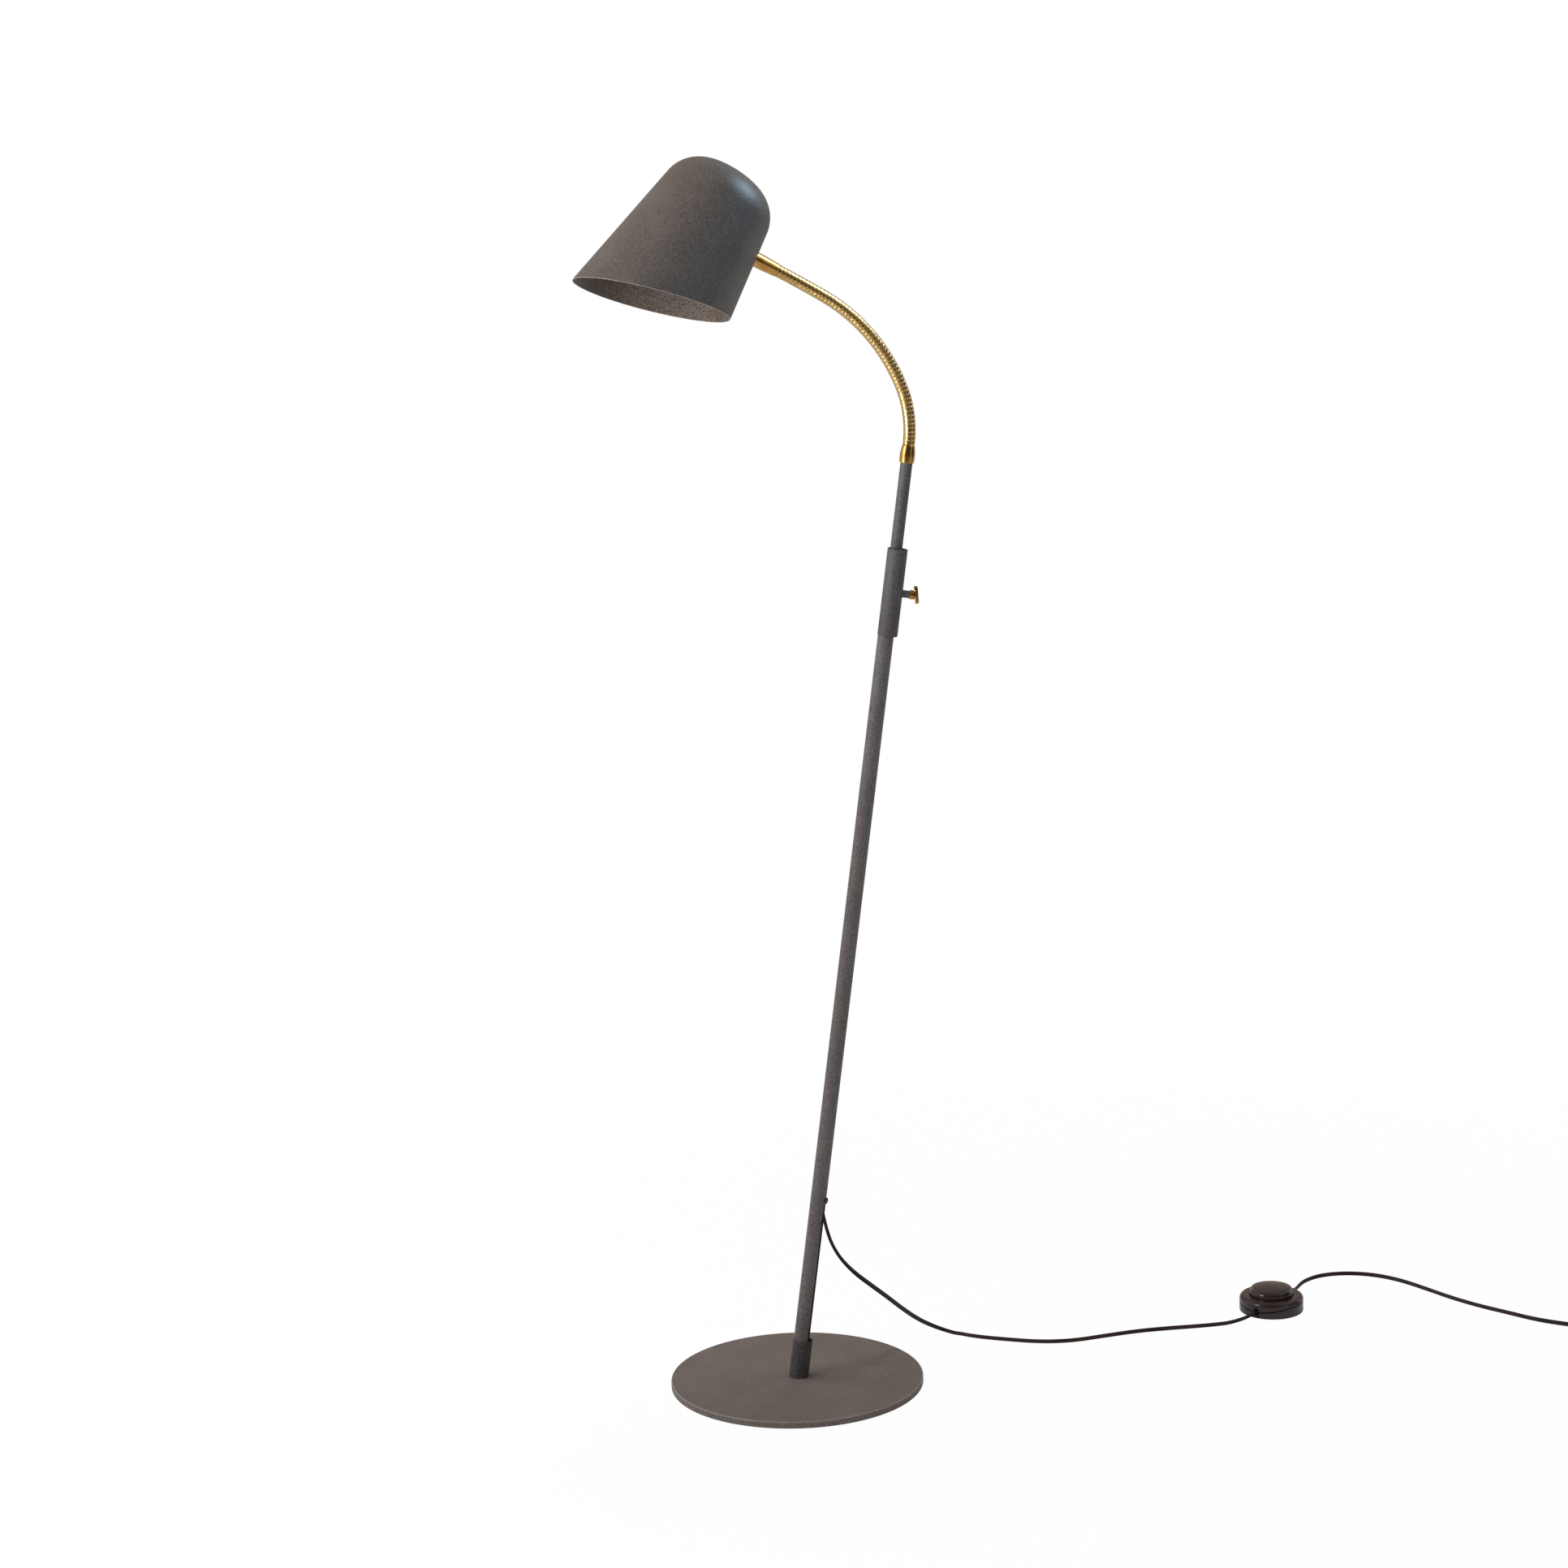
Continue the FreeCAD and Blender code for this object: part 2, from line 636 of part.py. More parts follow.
lead_rings = [neck_ring(step * link_long / 2, size("cord_radius")) for step in range(0, 2 * link_count + 1)]
piece("neck_lead", shaped("neck_lead", Part.makeLoft(lead_rings, True, True)))

# ---------------------------------------------------------------- head frame
neck_end, neck_ahead = neck_at(neck_long)
UPWARD = NECK_NORMAL.cross(neck_ahead) * -1.0
roll = Turn(neck_ahead, size("head_roll"))
head_up = roll.multVec(UPWARD)
flare = math.radians(size("shade_flare"))
shade_axis = head_up * math.cos(flare) - neck_ahead * math.sin(flare)
shade_inward = neck_ahead * math.cos(flare) + head_up * math.sin(flare)
wall_point = neck_end + neck_ahead * size("head_ferrule_long")
head_frame = Place(wall_point + shade_inward * size("shade_side"),
                   Turn(shade_inward * -1.0, shade_axis.cross(shade_inward * -1.0), shade_axis, "ZXY"))
# Along the ferrule's axis, in the head's frame: z = 0 on the shade's outside, +z away from the shade.
side_frame = Place(V(size("shade_side"), 0, 0), Turn(V(0, 1, 0), 90 - size("shade_flare")))
ferrule_frame = head_frame.multiply(side_frame)

ferrule_body = turned("ferrule_upper_turned", [
    ("head_nipple_radius", "seat_play"), ("head_ferrule_thick", "seat_play"),
    ("head_ferrule_thick", "head_ferrule_long * 0.3"),
    ("head_ferrule_thin", "head_ferrule_long - lip_gap"),
    ("head_bore", "head_ferrule_long - lip_gap"), ("head_bore", "head_ferrule_long * 0.45"),
    ("head_nipple_radius", "head_ferrule_long * 0.45")], ferrule_frame)
ferrule_cavity = doc.addObject("Part::Sphere", "ferrule_upper_cavity")
bind(ferrule_cavity, Radius="ball_radius + ball_play")
ferrule_cavity.Placement = Place(neck_end, Turn())
piece("ferrule_upper", cut("ferrule_upper", ferrule_body, [ferrule_cavity]))

piece("head_nipple", ring("head_nipple", "head_nipple_bore", "head_nipple_radius - seat_play",
                          "0 - head_nipple_inside", "head_ferrule_long * 0.45 - seat_play", ferrule_frame))

# ---------------------------------------------------------------- shade
EDGE_PLAY = 30.0


def shade_outline(inset):
    """Half of the shade's section, this far inside its outer skin: crown arc, corner arc, cone."""
    slope = math.tan(flare)
    crown = size("shade_crown") - inset
    corner = size("shade_corner") - inset
    crown_middle = size("shade_above") - size("shade_crown")
    inner_line = (size("shade_side") * math.cos(flare) - size("shade_corner")) / math.cos(flare)
    # The corner's middle lies one corner radius inside the cone and inside the crown.
    part_a = 1 + slope * slope
    part_b = -2 * (inner_line * slope + crown_middle)
    reach = size("shade_crown") - size("shade_corner")
    part_c = inner_line ** 2 + crown_middle ** 2 - reach ** 2
    middle_z = (-part_b + math.sqrt(part_b * part_b - 4 * part_a * part_c)) / (2 * part_a)
    middle_x = inner_line - slope * middle_z
    lean_at_crown = math.atan2(middle_x, middle_z - crown_middle)
    top = V(0, 0, crown_middle + crown)

    def on_crown(angle):
        return V(crown * math.sin(angle), 0, crown_middle + crown * math.cos(angle))

    def on_corner(angle):
        return V(middle_x + corner * math.sin(angle), 0, middle_z + corner * math.cos(angle))

    side_angle = math.pi / 2 - flare
    foot_z = -size("shade_long")
    foot = V(size("shade_side") - inset / math.cos(flare) - slope * foot_z, 0, foot_z)
    corner_arc = Part.Arc(on_corner(lean_at_crown), on_corner((lean_at_crown + side_angle) / 2), on_corner(side_angle))
    edges = [Part.Arc(top, on_crown(lean_at_crown / 2), on_crown(lean_at_crown)).toShape(), corner_arc.toShape(),
             Part.LineSegment(on_corner(side_angle), foot).toShape(),
             Part.LineSegment(foot, V(0, 0, foot_z)).toShape(), Part.LineSegment(V(0, 0, foot_z), top).toShape()]
    return Part.Face(Part.Wire(edges)).revolve(V(0, 0, 0), V(0, 0, 1), 360)


outer_skin = shade_outline(0.0)
inner_skin = shade_outline(size("shade_wall"))
cut_middle = V(0, 0, size("shade_above") - size("shade_long"))
cut_frame = Place(cut_middle, Turn(V(0, 1, 0), -size("shade_cut")))
below_cut = Part.makeBox(600, 600, 300, V(-300, -300, -300))
below_cut.Placement = cut_frame.multiply(Place(V(0, 0, 0), Turn()))
shade_shape = outer_skin.cut(inner_skin).cut(below_cut)
side_hole = Part.makeCylinder(size("head_nipple_radius") + size("bolt_play"), EDGE_PLAY, V(0, 0, -EDGE_PLAY / 2))
side_hole.Placement = side_frame
screw_side = side_frame.multiply(Place(V(size("dome_screw_drop"), 0, 0), Turn()))
screw_hole = Part.makeCylinder(size("dome_screw_shank") + size("seat_play"), EDGE_PLAY, V(0, 0, -EDGE_PLAY / 2))
screw_hole.Placement = screw_side
piece("shade", shaped("shade", shade_shape.cut([side_hole, screw_hole]), head_frame))

# ---------------------------------------------------------------- bracket inside the shade
# The strap's outline is in the ferrule's own frame: z runs out through the wall, x runs down the wall.
wall_sag = size("shade_side") / math.cos(flare) - size("shade_wall")
wall_sag -= math.sqrt(wall_sag ** 2 - (size("strap_wide") / 2) ** 2)
strap_out = -size("shade_wall") - wall_sag - size("seat_gap")
strap_leg = Part.makeBox(size("strap_below") + size("arm_above") / math.cos(flare), size("strap_wide"),
                         size("strap_thick"), V(-size("arm_above") / math.cos(flare), -size("strap_wide") / 2,
                                                strap_out - size("strap_thick")))
strap_leg.Placement = side_frame
arm_top = size("arm_above")
arm_start = size("shade_side") - (arm_top) * math.tan(flare) + (strap_out - size("strap_thick") / 2) / math.cos(flare)
arm_tail = size("holder_radius") * 0.75
arm = Part.makeBox(arm_start + arm_tail, size("strap_wide"), size("strap_thick"),
                   V(-arm_tail, -size("strap_wide") / 2, arm_top - size("strap_thick")))
strap = strap_leg.fuse(arm)
above_arm = Part.makeBox(200, 200, 60, V(-100, -100, arm_top))
nipple_way = Part.makeCylinder(size("head_nipple_radius") + size("seat_play"), EDGE_PLAY, V(0, 0, -EDGE_PLAY))
nipple_way.Placement = side_frame
screw_way = Part.makeCylinder(size("dome_screw_shank") + size("thread_play"), EDGE_PLAY, V(0, 0, -EDGE_PLAY))
screw_way.Placement = screw_side
holder_way = Part.makeCylinder(size("holder_stem") + size("seat_play"), EDGE_PLAY, V(0, 0, arm_top - EDGE_PLAY / 2))
strap = strap.cut([above_arm, nipple_way, screw_way, holder_way]).removeSplitter()
piece("holder_bracket", shaped("holder_bracket", strap, head_frame))

lock_nut = doc.addObject("Part::Prism", "head_locknut_hex")
lock_nut.Polygon = 6
bind(lock_nut, Circumradius="lock_hex", Height="lock_thick")
lock_top = strap_out - size("strap_thick")
lock_nut.Placement = ferrule_frame.multiply(Place(V(0, 0, lock_top - size("lock_thick")), Turn()))
lock_bore = cylinder("head_locknut_bore", "head_nipple_radius + thread_play", "3 * lock_thick",
                     ferrule_frame.multiply(Place(V(0, 0, lock_top - 2 * size("lock_thick")), Turn())))
piece("head_locknut", cut("head_locknut", lock_nut, [lock_bore]))

dome_frame = head_frame.multiply(screw_side)
dome = turned("bracket_screw", [
    ("0", "0 - dome_screw_long"), ("dome_screw_shank", "0 - dome_screw_long"),
    ("dome_screw_shank", "seat_play"), ("dome_screw_radius", "seat_play"),
    ("dome_screw_radius", "dome_screw_high * 0.4"), ("dome_screw_radius * 0.8", "dome_screw_high * 0.8"),
    ("dome_screw_radius * 0.4", "dome_screw_high"), ("0", "dome_screw_high")], dome_frame)
piece("bracket_screw", dome)

# ---------------------------------------------------------------- lampholder and bulb
# Heights run down from the arm's underside.
holder_frame = head_frame.multiply(Place(V(0, 0, arm_top - size("strap_thick")), Turn(V(1, 0, 0), 180)))
cap_high = "holder_cap_high"
piece("lampholder_cap", turned("lampholder_cap", [
    ("head_nipple_bore", "0 - holder_stem_long"), ("holder_stem", "0 - holder_stem_long"), ("holder_stem", "0"),
    ("holder_radius * 0.8", "0"), ("holder_radius", cap_high + " * 0.3"), ("holder_radius", cap_high),
    ("holder_radius - holder_wall", cap_high), ("holder_radius - holder_wall", "holder_wall * 2"),
    ("head_nipple_bore", "holder_wall * 2")], holder_frame))
body_low = cap_high + " + seat_play"
piece("lampholder_body", turned("lampholder_body", [
    ("contact_radius + seat_play", body_low + " + 5"), ("shell_radius - 2", body_low + " + 5"),
    ("shell_radius - 2", body_low), ("holder_radius", body_low), ("holder_radius", body_low + " + holder_long"),
    ("shell_radius + seat_play", body_low + " + holder_long"), ("shell_radius + seat_play", body_low + " + 8"),
    ("contact_radius + seat_play", body_low + " + 8")], holder_frame))
shell_low = body_low + " + 8"
piece("lampholder_shell", ring("lampholder_shell", "shell_radius - shell_wall", "shell_radius",
                               shell_low, shell_low + " + shell_long - 6", holder_frame))
tip_level = body_low + " + 10.5"
piece("lampholder_contact", ring("lampholder_contact", "0", "contact_radius", tip_level + " - contact_long",
                                 tip_level, holder_frame))
piece("bulb_cap", turned("bulb_cap", [
    ("0", tip_level), ("bulb_tip_radius", tip_level), ("bulb_tip_radius", tip_level + " + 2"),
    ("bulb_cap_radius", tip_level + " + 4"), ("bulb_cap_radius", tip_level + " + bulb_cap_long"),
    ("0", tip_level + " + bulb_cap_long")], holder_frame))

glass_low = size("holder_cap_high") + size("seat_play") + 10.5 + size("bulb_cap_long")
glass_end = glass_low + size("bulb_long")
globe_middle = glass_end - size("bulb_radius")
neck_radius = size("bulb_neck_radius")
touch = math.radians(40)
globe_start = V(size("bulb_radius") * math.cos(touch), 0, globe_middle - size("bulb_radius") * math.sin(touch))
glass_edges = [
    Part.LineSegment(V(0, 0, glass_low), V(neck_radius, 0, glass_low)).toShape(),
    Part.LineSegment(V(neck_radius, 0, glass_low), globe_start).toShape(),
    Part.Arc(globe_start, V(size("bulb_radius"), 0, globe_middle),
             V(0, 0, glass_end)).toShape(),
    Part.LineSegment(V(0, 0, glass_end), V(0, 0, glass_low)).toShape()]
glass = Part.Face(Part.Wire(glass_edges)).revolve(V(0, 0, 0), V(0, 0, 1), 360)
piece("bulb_glass", shaped("bulb_glass", glass, holder_frame))

# ---------------------------------------------------------------- foot switch, +X along the cord
switch_frame = Place(V(size("switch_x"), size("switch_y"), 0), Turn(V(0, 0, 1), size("switch_bearing")))
radius = size("switch_radius")
base_low = size("switch_foot_high")


def parting(offset):
    """Everything under the wavy seam, moved up by the offset: low along the cord, high across it."""
    low = size("parting_low") + offset
    high = size("parting_high") + offset
    wide = radius + 2
    edges = [Part.Arc(V(0, -wide, high), V(0, 0, low), V(0, wide, high)).toShape(),
             Part.LineSegment(V(0, wide, high), V(0, wide, -20)).toShape(),
             Part.LineSegment(V(0, wide, -20), V(0, -wide, -20)).toShape(),
             Part.LineSegment(V(0, -wide, -20), V(0, -wide, high)).toShape()]
    face = Part.Face(Part.Wire(edges))
    face.translate(V(-2 * radius, 0, 0))
    return face.extrude(V(4 * radius, 0, 0))


wall = size("switch_wall")
entry = Part.makeCylinder(size("entry_radius"), 4 * radius, V(-2 * radius, 0, size("entry_high")), V(1, 0, 0))
posts = [Part.makeCylinder(size("post_radius"), size("switch_high") - 2 * wall - base_low,
                           V(0, side * size("post_ring"), base_low + wall)) for side in (-1, 1)]
post_holes = [Part.makeCylinder(size("screw_shank") + size("thread_play"), size("switch_high"),
                                V(0, side * size("post_ring"), -1)) for side in (-1, 1)]
head_holes = [Part.makeCylinder(size("screw_head") + size("bolt_play"), wall,
                                V(0, side * size("post_ring"), base_low - wall / 2)) for side in (-1, 1)]
shell = Part.makeCylinder(radius, size("switch_high") - base_low, V(0, 0, base_low))
top_edges = [edge for edge in shell.Edges if at_height(edge, radius, size("switch_high"))]
shell = shell.makeFillet(size("switch_edge"), top_edges)
hollow = Part.makeCylinder(radius - wall, size("switch_high") - base_low - 2 * wall, V(0, 0, base_low + wall))
hollow_edges = [edge for edge in hollow.Edges if at_height(edge, radius - wall, size("switch_high") - wall)]
hollow = hollow.makeFillet(max(size("switch_edge") - wall, 0.5), hollow_edges)
shell = shell.cut(hollow).fuse(posts)
button_way = Part.makeCylinder(size("button_hole"), 2 * wall, V(0, 0, size("switch_high") - wall - 1))
lower = shell.common(parting(0.0)).cut([entry] + post_holes + head_holes)
upper = shell.cut([parting(size("parting_gap")), entry, button_way] + post_holes)
piece("switch_base", shaped("switch_base", lower.removeSplitter(), switch_frame))
piece("switch_cover", shaped("switch_cover", upper.removeSplitter(), switch_frame))

feet = [Part.makeCylinder(size("switch_foot_radius"), base_low,
                          V(size("switch_foot_ring") * math.cos(math.radians(angle)),
                            size("switch_foot_ring") * math.sin(math.radians(angle)), 0))
        for angle in (45, 135, 225, 315)]
piece("switch_feet", shaped("switch_feet", Part.makeCompound(feet), switch_frame))
screws = []
for side in (-1, 1):
    shank = Part.makeCylinder(size("screw_shank"), size("switch_high") - 3 * wall - base_low,
                              V(0, side * size("post_ring"), base_low + wall / 2))
    head = Part.makeCylinder(size("screw_head"), wall / 2 - size("seat_play"),
                             V(0, side * size("post_ring"), base_low + size("seat_play")))
    screws.append(head.fuse(shank).removeSplitter())
piece("switch_screws", shaped("switch_screws", Part.makeCompound(screws), switch_frame))

floor_in = base_low + wall
block_place = switch_frame.multiply(Place(V(-size("block_long") / 2, -size("block_wide") / 2, floor_in), Turn()))
piece("switch_block", block("switch_block", "block_long", "block_wide", "block_high", block_place))

flange_top = "switch_high - switch_wall - 0.3"
button_out = "button_hole - button_play"
stem_low = "switch_foot_high + switch_wall + block_high + button_travel + 0.3"
button = turned("switch_button", [
    ("0", stem_low), ("button_stem", stem_low), ("button_stem", "button_top - button_wall"),
    (button_out + " - button_wall", "button_top - button_wall"),
    (button_out + " - button_wall", flange_top + " - button_flange_thick"),
    (button_out + " + button_flange", flange_top + " - button_flange_thick"),
    (button_out + " + button_flange", flange_top), (button_out, flange_top), (button_out, "button_top"),
    ("0", "button_top")], switch_frame)
rounded(button, "switch_button_edge", "button_edge",
        lambda edge: at_height(edge, size("button_hole") - size("button_play"), size("button_top")))
piece("switch_button", button)
piece("switch_spring", ring("switch_spring", "spring_radius - spring_wall", "spring_radius",
                            "switch_foot_high + switch_wall + block_high",
                            "button_top - button_wall", switch_frame))


# ---------------------------------------------------------------- cords
def tube_along(points, radius_here):
    """A round tube along straight runs joined by tangent arcs, each as large as its runs allow."""
    spots = [V(*point) for point in points]
    edges = []
    radii = []
    start = spots[0]
    for index in range(1, len(spots) - 1):
        before = spots[index] - spots[index - 1]
        after = spots[index + 1] - spots[index]
        shorter = min(before.Length, after.Length)
        back = V(before).normalize()
        ahead = V(after).normalize()
        half_turn = back.getAngle(ahead) / 2
        reach = 0.45 * shorter
        radii.append(reach / math.tan(half_turn))
        first = spots[index] - back * reach
        last = spots[index] + ahead * reach
        inward = (ahead - back).normalize()
        middle_gap = radii[-1] * (1 / math.cos(half_turn) - 1)
        middle = spots[index] + inward * middle_gap
        edges.append(Part.LineSegment(start, first).toShape())
        edges.append(Part.Arc(first, middle, last).toShape())
        start = last
    edges.append(Part.LineSegment(start, spots[-1]).toShape())
    path = Part.Wire(edges)
    section = Part.Circle(spots[0], (spots[1] - spots[0]).normalize(), radius_here).toShape()
    tube = path.makePipeShell([Part.Wire([section])], True, False)
    expected = math.pi * radius_here ** 2 * path.Length
    print("tube: %d points, length %.1f, least radius %.1f, volume ratio %.4f"
          % (len(spots), path.Length, min(radii), tube.Volume / expected))
    return tube


cord = size("cord_radius")
piece("cord_to_switch", shaped("cord_to_switch", tube_along(TO_SWITCH, cord)))
piece("cord_from_switch", shaped("cord_from_switch", tube_along(FROM_SWITCH, cord)))


def arc_from(start, along, end):
    """The arc that leaves the start along a direction and ends at the end, with its end direction."""
    chord = end - start
    angle = along.getAngle(chord)
    chord_way = V(chord).normalize()
    if angle < 1e-6:
        return Part.LineSegment(start, end).toShape(), along
    side = (along - chord_way * along.dot(chord_way)).normalize()
    middle = start + chord * 0.5 + side * (chord.Length / 2 * math.tan(angle / 2))
    out = chord_way * (2 * along.dot(chord_way)) - along
    return Part.Arc(start, middle, end).toShape(), out


def biarc(start, start_way, end, end_way):
    """Two tangent arcs that leave the start and reach the end in the given directions."""
    chord = end - start
    ways = start_way + end_way
    alike = 2 * (1 - start_way.dot(end_way))
    reach = (-chord.dot(ways) + math.sqrt(chord.dot(ways) ** 2 + alike * chord.dot(chord))) / alike
    middle = (start + end + (start_way - end_way) * reach) * 0.5
    first, way = arc_from(start, start_way, middle)
    second, way = arc_from(middle, way, end)
    return [first, second]


quarters_in = int(size("coil_quarters_in"))
quarters_climb = int(size("coil_quarters_climb"))
quarters_out = int(size("coil_quarters_out"))
layer_one = cord + size("floor_play")
layer_two = layer_one + size("coil_layer")
plug_centre_high = layer_two
COIL_START = 90.0


def coil_at(quarter):
    """A point of the coil's centre line, in quarter turns from where the cord comes in."""
    share = min(max((quarter - quarters_in) / quarters_climb, 0.0), 1.0)
    height = layer_one + size("coil_layer") * share * share * (3 - 2 * share)
    radius_here = size("coil_inner") + size("coil_pitch") * abs(quarter - quarters_in - quarters_climb / 2) / 4
    angle = math.radians(COIL_START - 90 * quarter)
    return V(size("coil_x") + radius_here * math.cos(angle), size("coil_y") + radius_here * math.sin(angle), height)


STEP = 1e-4


def coil_way(quarter, backward=False):
    if backward:
        return (coil_at(quarter) - coil_at(quarter - STEP)).normalize()
    return (coil_at(quarter + STEP) - coil_at(quarter)).normalize()


def coil_solid():
    last = quarters_in + quarters_climb + quarters_out
    ways = []
    for quarter in range(last + 1):
        way = V(coil_way(max(quarter, 0), quarter > 0)) + coil_way(quarter, quarter == last)
        ways.append(way.normalize())
    angle = math.radians(COIL_START)
    ways[0] = V(math.sin(angle), -math.cos(angle), 0)
    angle = math.radians(COIL_START - 90 * last)
    ways[-1] = V(math.sin(angle), -math.cos(angle), 0)
    end_run = 2 * cord
    edges = [Part.LineSegment(coil_at(0) - ways[0] * end_run, coil_at(0)).toShape()]
    for quarter in range(last):
        edges += biarc(coil_at(quarter), ways[quarter], coil_at(quarter + 1), ways[quarter + 1])
    edges.append(Part.LineSegment(coil_at(last), coil_at(last) + ways[-1] * end_run).toShape())
    path = Part.Wire(edges)
    section = Part.Circle(coil_at(0) - ways[0] * end_run, ways[0], cord).toShape()
    tube = path.makePipeShell([Part.Wire([section])], True, False)
    curves = [edge.Curve.Radius for edge in edges if isinstance(edge.Curve, Part.Circle)]
    spots = []
    travelled = 0.0
    for edge in edges:
        for step in range(12):
            share = edge.FirstParameter + (edge.LastParameter - edge.FirstParameter) * step / 12
            spots.append((travelled + edge.Length * step / 12, edge.valueAt(share)))
        travelled += edge.Length
    least = 1e9
    for index, (along, spot) in enumerate(spots):
        for other_along, other in spots[index + 1:]:
            if other_along - along > 40:
                least = min(least, (other - spot).Length)
    print("coil: length %.1f, least radius %.1f, least gap to itself %.2f, volume ratio %.4f"
          % (path.Length, min(curves), least - 2 * cord, tube.Volume / (math.pi * cord ** 2 * path.Length)))
    return tube, coil_at(last) + ways[-1] * end_run


coil_shape, coil_end = coil_solid()
piece("cord_coil", shaped("cord_coil", coil_shape))

# ---------------------------------------------------------------- plug, pointing towards -Y
plug_frame = Place(coil_end, Turn(V(1, 0, 0), 90))
relief = Part.makeCone(size("relief_thin"), size("relief_thick"), size("relief_long"))
grip_low = size("relief_long")
half_wide = size("plug_wide") / 2
half_nose = size("plug_nose_wide") / 2
grip_high = 2 * plug_centre_high - 2 * size("floor_play")


def plug_section(height, half):
    low = V(-half, -grip_high / 2, height)
    corners = [low, V(half, -grip_high / 2, height), V(half, grip_high / 2, height), V(-half, grip_high / 2, height)]
    return Part.makePolygon(corners + [corners[0]])


grip = Part.makeLoft([plug_section(grip_low, size("relief_thick") + 2),
                      plug_section(grip_low + size("plug_long") * 0.35, half_wide),
                      plug_section(grip_low + size("plug_long"), half_nose)], True, True)
long_edges = [edge for edge in grip.Edges if abs((edge.valueAt(edge.LastParameter)
                                                  - edge.valueAt(edge.FirstParameter)).z) > 1]
grip = grip.makeFillet(size("plug_edge"), long_edges)
piece("plug_body", shaped("plug_body", relief.fuse(grip).removeSplitter(), plug_frame))
pins = []
for side in (-1, 1):
    pin = Part.makeCylinder(size("pin_radius"), size("pin_long"),
                            V(side * size("pin_spacing") / 2, 0, grip_low + size("plug_long")))
    tip = [edge for edge in pin.Edges if at_height(edge, size("pin_radius"),
                                                   grip_low + size("plug_long") + size("pin_long"))]
    pins.append(pin.makeFillet(size("pin_radius") * 0.6, tip))
piece("plug_pins", shaped("plug_pins", Part.makeCompound(pins), plug_frame))

# ---------------------------------------------------------------- checks and export
doc.recompute()
for item in doc.Objects:
    if "Invalid" in item.State or "Error" in item.State:
        raise RuntimeError("failed object: %s %s" % (item.Name, item.State))
for label, item in pieces.items():
    if item.Shape.isNull() or not item.Shape.isValid():
        raise RuntimeError("bad shape: " + label)
os.makedirs("parts", exist_ok=True)
for label, item in pieces.items():
    item.Shape.exportStep("parts/%s.step" % label)
print("wrote %d pieces" % len(pieces))
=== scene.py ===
import math

import bmesh
import bpy
import numpy as np
from mathutils import Matrix


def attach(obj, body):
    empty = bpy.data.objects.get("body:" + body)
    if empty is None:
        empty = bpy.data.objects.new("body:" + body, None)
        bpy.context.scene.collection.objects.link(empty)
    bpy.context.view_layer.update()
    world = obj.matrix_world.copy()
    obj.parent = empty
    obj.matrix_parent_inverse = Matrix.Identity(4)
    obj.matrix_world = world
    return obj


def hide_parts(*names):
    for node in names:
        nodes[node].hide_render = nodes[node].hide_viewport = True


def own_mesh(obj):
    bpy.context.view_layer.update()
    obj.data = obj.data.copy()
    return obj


# A slim reading floor lamp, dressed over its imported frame.
# Sizes are in millimetres and become metres where a mesh is made.
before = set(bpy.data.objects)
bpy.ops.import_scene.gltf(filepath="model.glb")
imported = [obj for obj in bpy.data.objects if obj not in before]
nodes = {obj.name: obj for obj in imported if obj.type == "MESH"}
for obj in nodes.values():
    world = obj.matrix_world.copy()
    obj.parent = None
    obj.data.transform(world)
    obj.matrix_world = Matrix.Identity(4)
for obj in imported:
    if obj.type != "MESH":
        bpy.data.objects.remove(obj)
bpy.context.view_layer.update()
scene = bpy.context.scene
millimetre = 0.001
weld = 2e-6  # metres: nearer points become one
print("frame loaded with", len(nodes), "nodes")


def unit(vector):
    # a vector of length one along the given one
    return np.asarray(vector, float) / np.linalg.norm(vector)


def placeAt(origin, zAxis, xAxis):
    # z along the axis, x as near as it can be to the given side, y across both
    z = unit(zAxis)
    x = unit(np.asarray(xAxis, float) - z * np.dot(xAxis, z))
    return np.asarray(origin, float), np.array([x, np.cross(z, x), z])


def placeInside(outer, origin, zAxis, xAxis):
    # a place given in another place's own numbers
    start, axes = placeAt(origin, zAxis, xAxis)
    return outer[0] + start @ outer[1], axes @ outer[1]


def fromPlace(place, points):
    # origin plus each number times its axis
    return place[0] + points @ place[1]


def turnedAbout(vector, axis, degrees):
    # the vector swung round the axis: the parts along it, across it and ahead of it
    angle = math.radians(degrees)
    along = axis * np.dot(axis, vector)
    return along + (vector - along) * math.cos(angle) + np.cross(axis, vector) * math.sin(angle)


def sewnMesh(mesh, work, sharp):
    # near points become one, faces turn outward, and edges bent by more than the angle stay sharp
    bmesh.ops.remove_doubles(work, verts=work.verts, dist=weld)
    bmesh.ops.recalc_face_normals(work, faces=work.faces)
    work.to_mesh(mesh)
    work.free()
    mesh.polygons.foreach_set("use_smooth", np.ones(len(mesh.polygons), bool))
    mesh.set_sharp_from_angle(angle=math.radians(sharp))
    return mesh


